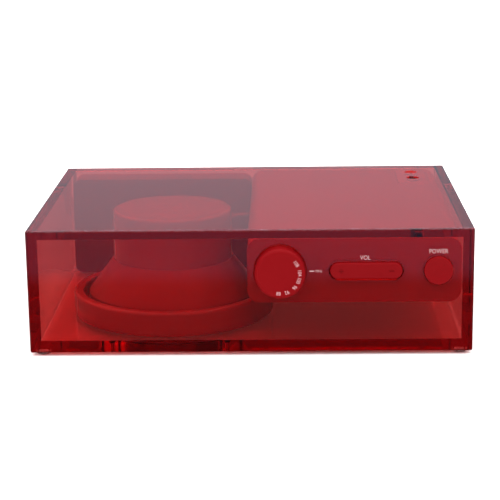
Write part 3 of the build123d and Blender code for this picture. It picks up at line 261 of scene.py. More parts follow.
def turned(
    name: str,
    profile: Sequence[tuple[float, float]],
    centre: Sequence[float],
    along: Along = Along.UP,
    sides: int = 96,
) -> bpy.types.Object:
    """Piece of revolution: a ring of points is pulled from corner to corner of a profile.

    A profile that starts and ends on a radius above zero is closed back to its start, and one whose last
    radius is zero is closed by a flat cap.

    Args:
        name: the piece's name.
        profile: (radius, height along the axis) corners.
        centre: a point of the axis, at height zero.
        along: direction of the axis.
        sides: faces around.

    Returns:
        The piece.
    """
    turn = (0.0, 0.0, 0.0) if along is Along.UP else (-math.pi / 2, 0.0, 0.0)
    step = Vector((0, 0, 1)) if along is Along.UP else Vector((0, 1, 0))
    centre = Vector(centre)
    capped_start = profile[0][0] == 0
    capped_end = profile[-1][0] == 0
    corners = [c for c in profile if c[0] > 0]
    radius, height = corners[0]
    deselect()
    bpy.ops.mesh.primitive_circle_add(
        vertices=sides, radius=radius, location=centre + step * height, rotation=turn, fill_type="NOTHING"
    )
    piece = named(name)
    bpy.ops.object.mode_set(mode="EDIT")
    bpy.ops.mesh.select_mode(type="EDGE")
    bpy.ops.mesh.select_all(action="SELECT")
    if capped_start:
        bpy.ops.mesh.edge_face_add()
        bpy.ops.mesh.select_all(action="SELECT")
        bpy.ops.mesh.extrude_region_move(TRANSFORM_OT_translate={"value": (0, 0, 0)})
    else:
        bpy.ops.mesh.extrude_edges_move(TRANSFORM_OT_translate={"value": (0, 0, 0)})
    first = True
    for (r0, h0), (r1, h1) in zip(corners, corners[1:]):
        if not first:
            bpy.ops.mesh.extrude_region_move(TRANSFORM_OT_translate={"value": (0, 0, 0)})
        first = False
        bpy.ops.transform.translate(value=step * (h1 - h0))
        grow = r1 / r0
        if abs(grow - 1) > 1e-9:
            value = (grow, grow, 1) if along is Along.UP else (grow, 1, grow)
            bpy.ops.transform.resize(value=value, center_override=centre + step * h1)
    if capped_end and not capped_start:
        bpy.ops.mesh.edge_face_add()
    if not capped_end and not capped_start:
        pick_open_edges(piece)
        bpy.ops.mesh.bridge_edge_loops()
    bpy.ops.mesh.select_all(action="SELECT")
    bpy.ops.mesh.remove_doubles(threshold=1e-7)
    bpy.ops.mesh.normals_make_consistent(inside=False)
    bpy.ops.object.mode_set(mode="OBJECT")
    return piece


def pick_open_edges(piece: bpy.types.Object) -> None:
    """Selects the edges that only one face has, in edit mode."""
    bpy.ops.mesh.select_all(action="DESELECT")
    mesh = bmesh.from_edit_mesh(piece.data)
    for edge in mesh.edges:
        edge.select = len(edge.link_faces) < 2
    bmesh.update_edit_mesh(piece.data)


def disc(radius: float, start: float, end: float) -> list[tuple[float, float]]:
    """Profile of a plain round bar about its axis.

    Args:
        radius: its radius.
        start: height of one end.
        end: height of the other end.

    Returns:
        (radius, height) corners from axis to axis.
    """
    return [(0, start), (radius, start), (radius, end), (0, end)]


def rolled_rim(radius: float, face: float, edge: float, steps: int) -> list[tuple[float, float]]:
    """Quarter round between a round face and its side.

    Args:
        radius: the face's outer radius.
        face: the face's place along the axis, facing down it.
        edge: the rounding's radius.
        steps: corners along the rounding, less one.

    Returns:
        (radius, height) points from the face to the side.
    """
    turns = [math.radians(90 * i / steps) for i in range(steps + 1)]
    return [(radius - edge + edge * math.sin(t), face + edge - edge * math.cos(t)) for t in turns]


def middle_of(node: str) -> Vector:
    """Middle of a CAD node's box."""
    low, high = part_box(node)
    return (low + high) / 2


def finish_piece(
    piece: bpy.types.Object,
    body: str,
    look: bpy.types.Material,
    replaced: Sequence[str] = (),
) -> None:
    """Dresses a finished piece, hangs it on its body and hides the CAD nodes that it stands for.

    Args:
        piece: the piece.
        body: the body it moves with.
        look: its material.
        replaced: CAD nodes that it stands for.
    """
    piece.data.materials.clear()
    piece.data.materials.append(look)
    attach(piece, body)
    if replaced:
        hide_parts(*replaced)
    log.info("%s: %d faces on %s", piece.name, len(piece.data.polygons), body)


# ---- Finishes --------------------------------------------------------------------------------------
def linear(colour: str) -> tuple[float, float, float, float]:
    """Turns an sRGB hex colour to linear.

    Args:
        colour: such as "#96151A".

    Returns:
        Red, green, blue and 1.
    """
    parts = [int(colour[i:i + 2], 16) / 255 for i in (1, 3, 5)]
    return (*[p / 12.92 if p <= 0.04045 else ((p + 0.055) / 1.055) ** 2.4 for p in parts], 1.0)


def add(
    tree: bpy.types.NodeTree,
    kind: str,
    settings: dict[str, object] | None = None,
    links: dict[str | int, bpy.types.NodeSocket] | None = None,
) -> bpy.types.Node:
    """Adds one node.

    Args:
        tree: the material's or the world's nodes.
        kind: the node's type.
        settings: properties or input values by name.
        links: what feeds its inputs, by name or number.

    Returns:
        The node.
    """
    made = tree.nodes.new(kind)
    for key, value in (settings or {}).items():
        if key in made.inputs:
            made.inputs[key].default_value = value
        else:
            setattr(made, key, value)
    for key, socket in (links or {}).items():
        tree.links.new(socket, made.inputs[key])
    return made


def fresh(name: str) -> tuple[bpy.types.Material, bpy.types.NodeTree]:
    """Makes an empty material of nodes."""
    material = bpy.data.materials.new(name)
    material.use_nodes = True
    material.node_tree.nodes.clear()
    return material, material.node_tree


class Grain(Enum):
    """How a surface's fine pattern lies."""

    FINE = (1.0, 1.0, 1.0)
    LONG = (0.05, 1.0, 1.0)
    TALL = (1.0, 1.0, 0.05)


@dataclass(frozen=True)
class Finish:
    """An opaque finish: a base colour that drifts a little, a fine grain and its gloss."""

    name: str
    colour: str
    drift: str
    roughness: float
    grain_mm: float
    relief_mm: float = 0.0
    metallic: float = 0.0
    ior: float = 1.5
    specular: float = 0.5
    sheen: float = 0.0
    grain: Grain = Grain.FINE
    spread: float = 0.08
    cloud_mm: float = 28.0
    drift_range: tuple[float, float] = (0.35, 0.65)
    gloss_range: tuple[float, float] = (0.3, 0.7)

    def material(self) -> bpy.types.Material:
        """Builds the node material.

        Returns:
            The material.
        """
        material, tree = fresh(self.name)
        place = add(tree, "ShaderNodeTexCoord")
        scaled = add(
            tree, "ShaderNodeMapping", {"Scale": self.grain.value}, {"Vector": place.outputs["Object"]}
        )
        grain = add(
            tree, "ShaderNodeTexNoise", {"Scale": 1 / (self.grain_mm * MM), "Detail": 2.0, "Roughness": 0.6},
            {"Vector": scaled.outputs["Vector"]},
        )
        cloud = add(
            tree, "ShaderNodeTexNoise", {"Scale": 1 / (self.cloud_mm * MM), "Detail": 1.0},
            {"Vector": place.outputs["Object"]},
        )
        both = add(
            tree, "ShaderNodeMix", {"data_type": "FLOAT", "Factor": 0.5},
            {2: cloud.outputs["Fac"], 3: grain.outputs["Fac"]},
        )
        colour = add(tree, "ShaderNodeValToRGB", links={"Fac": both.outputs[0]})
        shades = (self.colour, self.drift)
        for stop, position, shade in zip(colour.color_ramp.elements, self.drift_range, shades):
            stop.position = position
            stop.color = linear(shade)
        low, high = self.gloss_range
        gloss = add(
            tree, "ShaderNodeMapRange",
            {"From Min": low, "From Max": high, "To Min": max(0.02, self.roughness - self.spread / 2),
             "To Max": min(1.0, self.roughness + self.spread / 2)},
            {"Value": both.outputs[0]},
        )
        links = {"Base Color": colour.outputs["Color"], "Roughness": gloss.outputs["Result"]}
        if self.relief_mm:
            relief = add(
                tree, "ShaderNodeBump", {"Strength": 0.5, "Distance": self.relief_mm * MM},
                {"Height": grain.outputs["Fac"]},
            )
            links["Normal"] = relief.outputs["Normal"]
        settings = {"Metallic": self.metallic, "Sheen Weight": self.sheen}
        if not self.metallic:
            settings |= {"IOR": self.ior, "Specular IOR Level": self.specular}
        surface = add(tree, "ShaderNodeBsdfPrincipled", settings, links)
        add(tree, "ShaderNodeOutputMaterial", links={"Surface": surface.outputs["BSDF"]})
        return material


@dataclass(frozen=True)
class ClearAcrylic:
    """Cast acrylic sheet, polished and dyed through: thin walls glow, thick edges go dark."""

    name: str = "cast_acrylic_red"
    dye: tuple[float, float, float] = (0.957, 0.15, 0.12)
    density: float = 200.0
    ior: float = 1.49
    specular: float = 0.4
    roughness: float = 0.015
    smudge_mm: float = 35.0
    smudge: float = 0.02
    smudge_range: tuple[float, float] = (0.4, 0.75)

    def material(self) -> bpy.types.Material:
        """Builds the node material.

        Returns:
            The material.
        """
        material, tree = fresh(self.name)
        place = add(tree, "ShaderNodeTexCoord")
        cloud = add(
            tree, "ShaderNodeTexNoise", {"Scale": 1 / (self.smudge_mm * MM), "Detail": 3.0},
            {"Vector": place.outputs["Object"]},
        )
        low, high = self.smudge_range
        gloss = add(
            tree, "ShaderNodeMapRange",
            {"From Min": low, "From Max": high, "To Min": self.roughness,
             "To Max": self.roughness + self.smudge},
            {"Value": cloud.outputs["Fac"]},
        )
        surface = add(
            tree, "ShaderNodeBsdfPrincipled",
            {"Base Color": (1, 1, 1, 1), "Transmission Weight": 1.0, "IOR": self.ior,
             "Specular IOR Level": self.specular},
            {"Roughness": gloss.outputs["Result"]},
        )
        inside = add(
            tree, "ShaderNodeVolumeAbsorption", {"Color": (*self.dye, 1.0), "Density": self.density}
        )
        add(tree, "ShaderNodeOutputMaterial",
            links={"Surface": surface.outputs["BSDF"], "Volume": inside.outputs["Volume"]})
        return material


# Moulded ABS, spark-eroded tool: a soft, even red without a glint
KNOB_ABS = Finish("moulded_abs_knob", "#740208", "#79040A", 0.55, 0.25, 0.012, ior=1.53, specular=0.05)
# The same plastic for the rocker and the button, a little glossier from being pressed
KEY_ABS = Finish("moulded_abs_keys", "#720309", "#78050B", 0.48, 0.25, 0.01, ior=1.53, specular=0.05)
# Moulded ABS of the housing: finer texture, wide soft light on flat faces
HOUSING_ABS = Finish("moulded_abs_housing", "#A20912", "#A80B14", 0.45, 0.3, 0.008, ior=1.53, specular=0.15)
# ABS from a polished tool, for the ring and the magnet's cover: a narrow glint along the rims
GLOSS_ABS = Finish("gloss_abs_ring", "#950810", "#9A0A12", 0.22, 0.5, 0.004, ior=1.53, specular=0.3)
# Powder paint baked on pressed steel: fine orange peel
BASKET_PAINT = Finish("powder_paint_basket", "#8C070F", "#910911", 0.38, 0.8, 0.02, ior=1.5, specular=0.15)
# Black moulded ABS of a socket: dull, nearly neutral
BLACK_ABS = Finish("moulded_abs_black", "#141215", "#1B181B", 0.5, 0.3, 0.01, ior=1.53)
# Dark red moulded ABS of the battery box: matt, so that it reads as one dark block
BOX_ABS = Finish("moulded_abs_box", "#7C0F1A", "#82111D", 0.5, 0.3, 0.01, ior=1.53, specular=0.15)
# The plate under the sockets, the same plastic a shade paler
PLATE_ABS = Finish("moulded_abs_plate", "#B0202C", "#B62632", 0.5, 0.3, 0.008, ior=1.53, specular=0.2)
# Red moulded ABS of the audio socket: darker than its plate
AUDIO_RED = Finish("moulded_abs_socket", "#7A0E14", "#841118", 0.45, 0.3, 0.01, ior=1.53)
# Pad-printed ink, thin and chalky: pale pink through what lies under it
PRINT_INK = Finish("pad_print_ink", "#CDA0A2", "#D5A8AA", 0.6, 0.2, 0.0, ior=1.48, spread=0.05)
# Zinc plating on rolled steel screws: grey, with fine lines along the screw
ZINC_SCREW = Finish(
    "zinc_plated_steel", "#A9A9AD", "#B8B8BC", 0.34, 0.15, 0.01, metallic=1.0, grain=Grain.LONG
)
# Bright nickel on spring steel: a warm, sharper shine
NICKEL = Finish(
    "nickel_plated_steel", "#C4C2BE", "#CFCCC8", 0.22, 0.2, 0.006, metallic=1.0, grain=Grain.LONG
)
# Sintered ferrite: charcoal, dull, slightly granular
FERRITE = Finish("sintered_ferrite", "#232326", "#2B2B2F", 0.62, 0.4, 0.02, ior=2.0)
# Enamelled copper wire wound in a coil: orange brown, lines around
COPPER = Finish("enamelled_copper", "#B4683A", "#C27442", 0.3, 0.15, 0.01, metallic=1.0, grain=Grain.TALL)
# Pressed paper pulp: black brown and fibrous
PAPER = Finish("pressed_pulp_cone", "#1D1B1A", "#2A2725", 0.85, 0.35, 0.05, ior=1.45, sheen=0.2)
# Closed-cell foam, die-cut or moulded: black, without shine
FOAM = Finish("closed_cell_foam", "#1A191A", "#242324", 0.9, 0.5, 0.06, ior=1.45)
# Cotton cloth dipped in resin and hot pressed: straw brown, a low sheen
CLOTH = Finish("resin_dipped_cloth", "#A8803A", "#B88F45", 0.75, 0.4, 0.04, ior=1.5, sheen=0.1)
# Glass laminate under green solder mask: smooth, semi-gloss
BOARD = Finish("solder_masked_laminate", "#14512E", "#1A6238", 0.3, 1.2, 0.01, ior=1.55)
# Transfer-moulded epoxy: black, faintly gritty
CHIP = Finish("moulded_epoxy", "#18181A", "#202023", 0.6, 0.25, 0.015, ior=1.55)
# Extruded and anodised aluminium: satin grey with drawn lines
ALUMINIUM = Finish(
    "anodised_extrusion", "#9C9CA0", "#AAAAAE", 0.36, 0.12, 0.01, metallic=1.0, grain=Grain.LONG
)
# Extruded PVC sheath: smooth, deep red
WIRE_PVC = Finish("pvc_sheath", "#8E1218", "#981519", 0.4, 0.6, 0.005, ior=1.53)
# Cast soft polyurethane of the feet: clear and barely tinted
CLEAR_FOOT = ClearAcrylic("clear_polyurethane", (0.97, 0.95, 0.95), 60.0, 1.48, 0.4, 0.05)

CARRIED: dict[str, Finish] = {
    "screw_steel": ZINC_SCREW, "bright_steel": NICKEL, "ferrite": FERRITE, "copper": COPPER,
    "paper_cone": PAPER, "foam_gasket": FOAM, "spider_cloth": CLOTH, "board_green": BOARD, "chip_black": CHIP,
    "heat_sink_alu": ALUMINIUM, "wire_sheath": WIRE_PVC, "red_plastic": HOUSING_ABS,
    "red_gloss": GLOSS_ABS, "red_paint": BASKET_PAINT, "knob_red": KNOB_ABS, "black_plastic": BOX_ABS,
}


class Looks:
    """Builds each finish's material once."""

    def __init__(self) -> None:
        """Starts with no materials."""
        self.made: dict[str, bpy.types.Material] = {}

    def of(self, finish: Finish | ClearAcrylic) -> bpy.types.Material:
        """Gives a finish's material.

        Args:
            finish: the finish.

        Returns:
            Its material.
        """
        if finish.name not in self.made:
            self.made[finish.name] = finish.material()
        return self.made[finish.name]


# ---- Case -------------------------------------------------------------------------------------------
@dataclass
class AcrylicCase:
    """Bonded box of clear red acrylic with a window in front and a screwed-on back."""

    looks: Looks
    edge_round: float = 1.0 * MM
    fine_edge: float = 0.25 * MM
    knob_gap: float = 0.7 * MM
    rocker_gap: float = 0.5 * MM
    button_radius: float = 8.15 * MM
    button_gap: float = 0.3 * MM
    socket_hole: float = 4.0 * MM
    socket_reach: float = 8.0 * MM
    door_gap: float = 0.4 * MM
    grille_gap: float = 0.2 * MM
    ring_screw_circle: float = 47.3 * MM
    screw_mouth: float = 3.05 * MM
    screw_hole: float = 1.65 * MM
    screw_head: float = 1.6 * MM
    housing_screws: tuple[float, float] = (9.0 * MM, 7.0 * MM)
    box_screws: tuple[float, float] = (10.0 * MM, 3.5 * MM)
    back_screw: tuple[float, float, float] = (2.55 * MM, 1.4 * MM, 1.4 * MM)
    optical_gap: float = 0.04 * MM
    acrylic: ClearAcrylic = field(default_factory=ClearAcrylic)

    def build(self) -> None:
        """Makes the shell and the back."""
        self.shell()
        self.back()

    def shell(self) -> None:
        """Top, base, sides and front as the one clear solid that bonding makes of them."""
        left_low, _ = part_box("left_panel")
        _, right_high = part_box("right_panel")
        front_low, front_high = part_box("front_panel")
        top_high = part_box("top_panel")[1]
        base_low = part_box("base_panel")[0]
        low = Vector((left_low.x, front_low.y, base_low.z))
        high = Vector((right_high.x, right_high.y, top_high.z))
        shell = bar("acrylic_shell", low, high)
        round_edges(shell, lambda middle, way: True, self.edge_round, 4)
        inner_low = (front_low.x, front_high.y, front_low.z - self.optical_gap)
        inner_high = (front_high.x, high.y + 5 * BEYOND, front_high.z)
        cut(shell, bar("room", inner_low, inner_high))
        cut(shell, *self.front_tools(front_low.y, front_high.y))
        cut(shell, *self.top_tools(top_high.z))
        cut(shell, *self.base_tools())
        smooth(shell, 35.0, self.fine_edge)
        finish_piece(
            shell, "radio_case", self.looks.of(self.acrylic),
            ("top_panel", "base_panel", "left_panel", "right_panel", "front_panel"),
        )

    def front_tools(self, outer: float, inner: float) -> list[bpy.types.Object]:
        """Shapes of the holes for the knob, the rocker and the button.

        Args:
            outer: depth of the window's outer face.
            inner: depth of its inner face.

        Returns:
            The three shapes.
        """
        y0 = outer - 2 * BEYOND
        y1 = inner + 2 * BEYOND
        knob_low, knob_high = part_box("tuning_knob")
        knob = (knob_low + knob_high) / 2
        radius = (knob_high.x - knob_low.x) / 2 + self.knob_gap
        rocker_low, rocker_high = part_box("volume_rocker")
        button = middle_of("power_button")
        gap = self.rocker_gap
        half = (rocker_high.z - rocker_low.z) / 2 + gap
        return [
            turned("knob_hole", disc(radius, y0, y1), (knob.x, 0, knob.z), Along.BACK, 128),
            rounded_bar(
                "rocker_hole", (rocker_low.x - gap, y0, rocker_low.z - gap),
                (rocker_high.x + gap, y1, rocker_high.z + gap), half * NEARLY_ROUND, segments=20,
            ),
            turned(
                "button_hole", disc(self.button_radius + self.button_gap, y0, y1),
                (button.x, 0, button.z), Along.BACK, 96,
            ),
        ]

    def top_tools(self, top: float) -> list[bpy.types.Object]:
        """Shapes of the two socket holes.

        Args:
            top: height of the top's outer face.

        Returns:
            The two shapes.
        """
        tools = []
        for node in ("audio_socket", "dc_socket"):
            at = middle_of(node)
            profile = disc(self.socket_hole, top - self.socket_reach, top + 2 * BEYOND)
            tools.append(turned("socket_hole", profile, (at.x, at.y, 0), Along.UP, 64))
        return tools

    def base_tools(self) -> list[bpy.types.Object]:
        """Shapes of the loudspeaker's opening and the ring's four countersunk holes.

        Returns:
            The shapes.
        """
        low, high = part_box("speaker_grille")
        at = (low + high) / 2
        base_low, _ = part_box("base_panel")
        z0 = base_low.z
        z1 = high.z + 2 * BEYOND
        radius = (high.x - low.x) / 2 + self.grille_gap
        tools = [turned("speaker_hole", disc(radius, z0 - 2 * BEYOND, z1), (at.x, at.y, 0), Along.UP, 128)]
        for i in range(4):
            turn = math.radians(45 + 90 * i)
            x = at.x + self.ring_screw_circle * math.cos(turn)
            y = at.y + self.ring_screw_circle * math.sin(turn)
            profile = [
                (0, z0 - BEYOND), (self.screw_mouth, z0 - BEYOND), (self.screw_mouth, z0),
                (self.screw_hole, z0 + self.screw_head), (self.screw_hole, z1), (0, z1),
            ]
            tools.append(turned("screw_hole", profile, (x, y, 0), Along.UP, 32))
        return tools

    def back(self) -> None:
        """Back panel, lifted a hair off the pieces that it holds, so that light can pass between."""
        low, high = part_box("rear_panel")
        panel = bar("back_pane", (low.x, low.y + self.optical_gap, low.z), high)
        door_low, door_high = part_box("battery_door")
        gap = self.door_gap
        cut(panel, bar("door_hole", (door_low.x - gap, low.y - BEYOND, door_low.z - gap),
                       (door_high.x + gap, high.y + BEYOND, door_high.z + gap)))
        cut(panel, *self.back_tools(low.y, high.y))
        smooth(panel, 35.0, self.fine_edge)
        finish_piece(panel, "radio_case", self.looks.of(self.acrylic), ("rear_panel",))

    def back_tools(self, inner: float, outer: float) -> list[bpy.types.Object]:
        """Shapes of the countersunk holes for the six screws that hold the back.

        Args:
            inner: depth of the back's inner face.
            outer: depth of its outer face.

        Returns:
            The six shapes.
        """
        box_low, box_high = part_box("battery_box")
        housing_low, housing_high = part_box("control_housing")
        across, up = self.housing_screws
        box_across, box_down = self.box_screws
        sides = (box_low.x + box_across, box_high.x - box_across)
        places = [(x, box_high.z - box_down) for x in sides]
        for x in (housing_low.x + across, housing_high.x - across):
            places += [(x, housing_low.z + up), (x, housing_high.z - up)]
        mouth, hole, head = self.back_screw
        profile = [
            (0, inner - BEYOND), (hole, inner - BEYOND), (hole, outer - head), (mouth, outer),
            (mouth, outer + BEYOND), (0, outer + BEYOND),
        ]
        return [turned("back_screw_hole", profile, (x, 0, z), Along.BACK, 32) for x, z in places]


# ---- Controls ----------------------------------------------------------------------------------------
def lettering(
    name: str, text: str, height: float, middle: Sequence[float], turn: float, depth: float
) -> bpy.types.Object:
    """Flat printed characters that face the front, centred on a point.

    Args:
        name: the piece's name.
        text: what is printed.
        height: height of the capitals and digits.
        middle: centre of the characters.
        turn: degrees that they are turned by, counter-clockwise seen from the front.
        depth: thickness of the ink.

    Returns:
        The characters as a mesh.
    """
    deselect()
    bpy.ops.object.text_add(location=(0, 0, 0))
    made = bpy.context.active_object
    made.data.body = text
    made.data.align_x = "CENTER"
    made.data.align_y = "CENTER"
    made.data.size = height / CAP_SHARE
    made.data.extrude = depth / 2
    made.data.offset = -THIN * made.data.size
    made.data.resolution_u = 3
    take(made)
    bpy.ops.object.convert(target="MESH")
    piece = bpy.context.active_object
    low_x = min(v.co.x for v in piece.data.vertices)
    high_x = max(v.co.x for v in piece.data.vertices)
    low_y = min(v.co.y for v in piece.data.vertices)
    high_y = max(v.co.y for v in piece.data.vertices)
    piece.location = (-(low_x + high_x) / 2 * CONDENSED, -(low_y + high_y) / 2, 0)
    piece.scale = (CONDENSED, 1, 1)
    named(name)
    piece.rotation_euler = (math.pi / 2, 0, 0)
    named(name)
    piece.rotation_euler = (0, -math.radians(turn), 0)
    named(name)
    piece.location = middle
    return named(name)


@dataclass
class Controls:
    """Tuning knob with its printed dial, volume rocker, power button and the words printed on the window."""

    looks: Looks
    knob_edge: float = 2.2 * MM
    knob_wall: float = 2.0 * MM
    knob_face: float = 2.5 * MM
    hub: float = 5.0 * MM
    digit_height: float = 2.1 * MM
    digit_circle: float = 10.9 * MM
    ink: float = 0.05 * MM
    rim_chamfer: float = 0.4 * MM
    dial: tuple[tuple[str, float], ...] = (
        ("108", 34.0), ("104", 4.0), ("100", -19.5), ("96", -42.7), ("92", -70.0), ("88", -95.0),
    )
    rocker_edge: float = 1.2 * MM
    mark_length: float = 2.7 * MM
    mark_width: float = 0.5 * MM
    mark_depth: float = 0.35 * MM
    mark_arm: float = 14.0 * MM
    cap_into_plate: float = 0.8 * MM
    behind_plate: float = 0.75 * MM
    ear: float = 2.4 * MM
    ear_past_pin: float = 2.2 * MM
    pusher: float = 1.6 * MM
    button_edge: float = 0.7 * MM
    dish: float = 0.5 * MM
    dish_share: float = 0.86
    flange_width: float = 1.2 * MM
    flange_gap: float = 0.2 * MM
    flange_thick: float = 1.5 * MM
    boss: float = 3.0 * MM
    label_cap: float = 2.5 * MM
    unit_share: float = 0.62
    volume_offset: tuple[float, float] = (-0.6 * MM, 7.6 * MM)
    power_offset: tuple[float, float] = (-0.1 * MM, 11.0 * MM)
    unit_offset: float = 5.2 * MM
    pointer_from_knob: float = 2.1 * MM
    pointer_size: tuple[float, float] = (2.5 * MM, 0.6 * MM)

    def build(self) -> None:
        """Makes the controls and prints the words."""
        self.knob()
        self.rocker()
        self.button()
        self.printing()

    def knob(self) -> None:
        """Cup-shaped knob, its rim rolled over, with the dial printed on its face."""
        low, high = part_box("tuning_knob")
        centre = ((low.x + high.x) / 2, 0, (low.z + high.z) / 2)
        radius = (high.x - low.x) / 2
        face, back = low.y, high.y
        inside = face + self.knob_face
        rim = rolled_rim(radius, face, self.knob_edge, 8)
        wall = radius - self.knob_wall
        chamfer = self.rim_chamfer
        profile = [
            (0, face), *rim, (radius, back - chamfer), (radius - chamfer, back), (wall, back), (wall, inside),
            (self.hub, inside), (self.hub, back), (self.bore(), back), (self.bore(), inside), (0, inside),
        ]
        knob = turned("tuning_knob_cap", profile, centre, Along.BACK, 128)
        smooth(knob, 40.0)
        finish_piece(knob, "tuning_dial", self.looks.of(KNOB_ABS), ("tuning_knob",))
        printed = []
        for text, angle in self.dial:
            a = math.radians(angle)
            x = centre[0] + self.digit_circle * math.cos(a)
            z = centre[2] + self.digit_circle * math.sin(a)
            digits = lettering("dial_" + text, text, self.digit_height, (x, face, z), angle - 90, self.ink)
            printed.append(digits)
        dial = join(*printed)
        dial.name = "dial_numbers"
        dial.data.name = "dial_numbers"
        finish_piece(dial, "tuning_dial", self.looks.of(PRINT_INK))

    def bore(self) -> float:
        """Radius of the hole for the shaft."""
        low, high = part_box("tuning_shaft")
        return (high.x - low.x) / 2 + SHAFT_GAP

    def rocker(self) -> None:
        """Pill-shaped rocker with soft edges and sunk signs, with its ear and pushers behind."""
        low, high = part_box("volume_rocker")
        middle = (low + high) / 2
        pin_low, pin_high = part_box("rocker_pin")
        pin_y = (pin_low.y + pin_high.y) / 2
        fascia_back = self.fascia_back()
        half = (high.z - low.z) / 2
        cap = rounded_bar(
            "volume_rocker_cap", (low.x, low.y, low.z),
            (high.x, fascia_back + self.cap_into_plate, high.z), half * NEARLY_ROUND, segments=20,
        )
        face_y = low.y
        round_edges(cap, lambda at, way: abs(at.y - face_y) < 1e-6, self.rocker_edge, 6)
        for side in (-1, 1):
            x = middle.x + side * self.mark_arm
            cut(cap, self.mark("minus", x, middle.z, self.mark_length, self.mark_width, face_y))
        x = middle.x - self.mark_arm
        cut(cap, self.mark("plus", x, middle.z, self.mark_width, self.mark_length, face_y))
        start = fascia_back + self.behind_plate
        block = bar(
            "ear", (middle.x - self.ear, start, low.z),
            (middle.x + self.ear, pin_y + self.ear_past_pin, high.z),
        )
        pin_r = (pin_high.x - pin_low.x) / 2 + PIN_GAP
        hole = disc(pin_r, low.z - BEYOND, high.z + BEYOND)
        cut(block, turned("pin_hole", hole, (middle.x, pin_y, 0), Along.UP, 32))
        pushers = []
        for side in (-1, 1):
            at = (middle.x + side * self.mark_arm, 0, middle.z)
            pushers.append(turned("pusher", disc(self.pusher, start, high.y), at, Along.BACK, 32))
        rocker = join(cap, block, *pushers)
        smooth(rocker, 40.0)
        finish_piece(rocker, "volume_key", self.looks.of(KEY_ABS), ("volume_rocker",))

    def mark(
        self, name: str, x: float, z: float, width: float, height: float, face: float
    ) -> bpy.types.Object:
        """Shape of one sunk stroke.

        Args:
            name: the shape's name.
            x: the stroke's middle, across.
            z: the stroke's middle, in height.
            width: its width.
            height: its height.
            face: depth of the face that it is sunk into.

        Returns:
            The shape.
        """
        low = (x - width / 2, face - BEYOND, z - height / 2)
        high = (x + width / 2, face + self.mark_depth, z + height / 2)
        return bar(name, low, high)

    def fascia_back(self) -> float:
        """Depth of the back of the housing's front plate."""
        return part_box("control_housing")[0].y

    def button(self) -> None:
        """Round button, dished for a fingertip, with a flange and a boss behind."""
        low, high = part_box("power_button")
        centre = ((low.x + high.x) / 2, 0, (low.z + high.z) / 2)
        back = self.fascia_back()
        flange = (high.x - low.x) / 2
        radius = flange - self.flange_width
        face = low.y
        steps = 8
        dish = [
            (radius * self.dish_share * math.sqrt(i / steps), face + self.dish * (1 - i / steps))
            for i in range(1, steps)
        ]
        rim = rolled_rim(radius, face, self.button_edge, 5)
        front = back + self.flange_gap
        rear = front + self.flange_thick
        profile = [
            (0, face + self.dish), *dish, *rim, (radius, front), (flange, front), (flange, rear),
            (self.boss, rear), (self.boss, high.y), (0, high.y),
        ]
        button = turned("power_button_cap", profile, centre, Along.BACK, 96)
        smooth(button, 40.0)
        finish_piece(button, "power_key", self.looks.of(KEY_ABS), ("power_button",))

    def printing(self) -> None:
        """Generic words and the dial's pointer, printed on the window."""
        window_low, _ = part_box("front_panel")
        y = window_low.y - self.ink / 2
        knob = middle_of("tuning_knob")
        rocker = middle_of("volume_rocker")
        button = middle_of("power_button")
        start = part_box("tuning_knob")[1].x + self.pointer_from_knob
        length, width = self.pointer_size
        across, above = self.volume_offset
        volume = (rocker.x + across, y, rocker.z + above)
        across, above = self.power_offset
        power = (button.x + across, y, button.z + above)
        unit = (start + self.unit_offset, y, knob.z)
        words = [
            lettering("word_volume", "VOL", self.label_cap, volume, 0, self.ink),
            lettering("word_power", "POWER", self.label_cap, power, 0, self.ink),
            lettering("word_unit", "MHz", self.label_cap * self.unit_share, unit, 0, self.ink),
            bar("pointer", (start, y - self.ink / 2, knob.z - width / 2),
                (start + length, y + self.ink / 2, knob.z + width / 2)),
        ]
        printed = join(*words)
        printed.name = "window_printing"
        printed.data.name = "window_printing"
        finish_piece(printed, "radio_case", self.looks.of(PRINT_INK))


# ---- Driver ---------------------------------------------------------------------------------------
@dataclass
class RollSurround:
    """Foam half roll between the cone's edge and the bowl's flange."""

    looks: Looks
    skin: float = 0.5 * MM
    steps: int = 12
    flattest: float = 0.55

    def build(self) -> None:
        """Roll of one skin, glued at its outer edge to the part of the driver that stays."""
        low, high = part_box("surround")
        at = (low + high) / 2
        roll = high.z - low.z
        centre_line = (high.x - low.x) / 2 - roll
        outside = self.arc(centre_line, roll, high.z)
        inside = self.arc(centre_line, roll - self.skin, high.z)
        piece = turned("surround_roll", outside + inside[::-1], (at.x, at.y, 0), Along.UP, 96)
        smooth(piece, 35.0)
        finish_piece(piece, "radio_case", self.looks.of(FOAM), ("surround",))
        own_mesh(piece)

    def arc(self, centre_line: float, radius: float, top: float) -> list[tuple[float, float]]:
        """Half circle that hangs from the flange.

        Args:
            centre_line: the roll's radius about the driver's axis.
            radius: the half circle's own radius.
            top: height of its ends.

        Returns:
            (radius, height) points from the outer end to the inner one.
        """
        turns = [math.pi * i / self.steps for i in range(self.steps + 1)]
        return [(centre_line + radius * math.cos(t), top - radius * math.sin(t)) for t in turns]


# ---- CAD nodes that are seen as they are ----------------------------------------------------------
@dataclass
class CarriedNodes:
    """CAD nodes that keep their own shape and get a finish."""

    looks: Looks
    exceptions: dict[str, Finish | ClearAcrylic] = field(default_factory=lambda: {
        "audio_socket": AUDIO_RED, "dc_socket": BLACK_ABS, "feet": CLEAR_FOOT, "jack_plate": PLATE_ABS,
    })

    def build(self) -> None:
        """Dresses every CAD node by its slot in the record."""
        slots = {part["node"]: part["material_slot"] for part in frame["record"]["subparts"]}
        for name, node in frame["nodes"].items():
            finish = self.exceptions.get(name) or CARRIED.get(slots[name])
            if finish is None:
                continue
            look = self.looks.of(finish)
            for index in range(len(node.material_slots)):
                node.material_slots[index].material = look
        log.info("carried nodes: %d", len(frame["nodes"]))


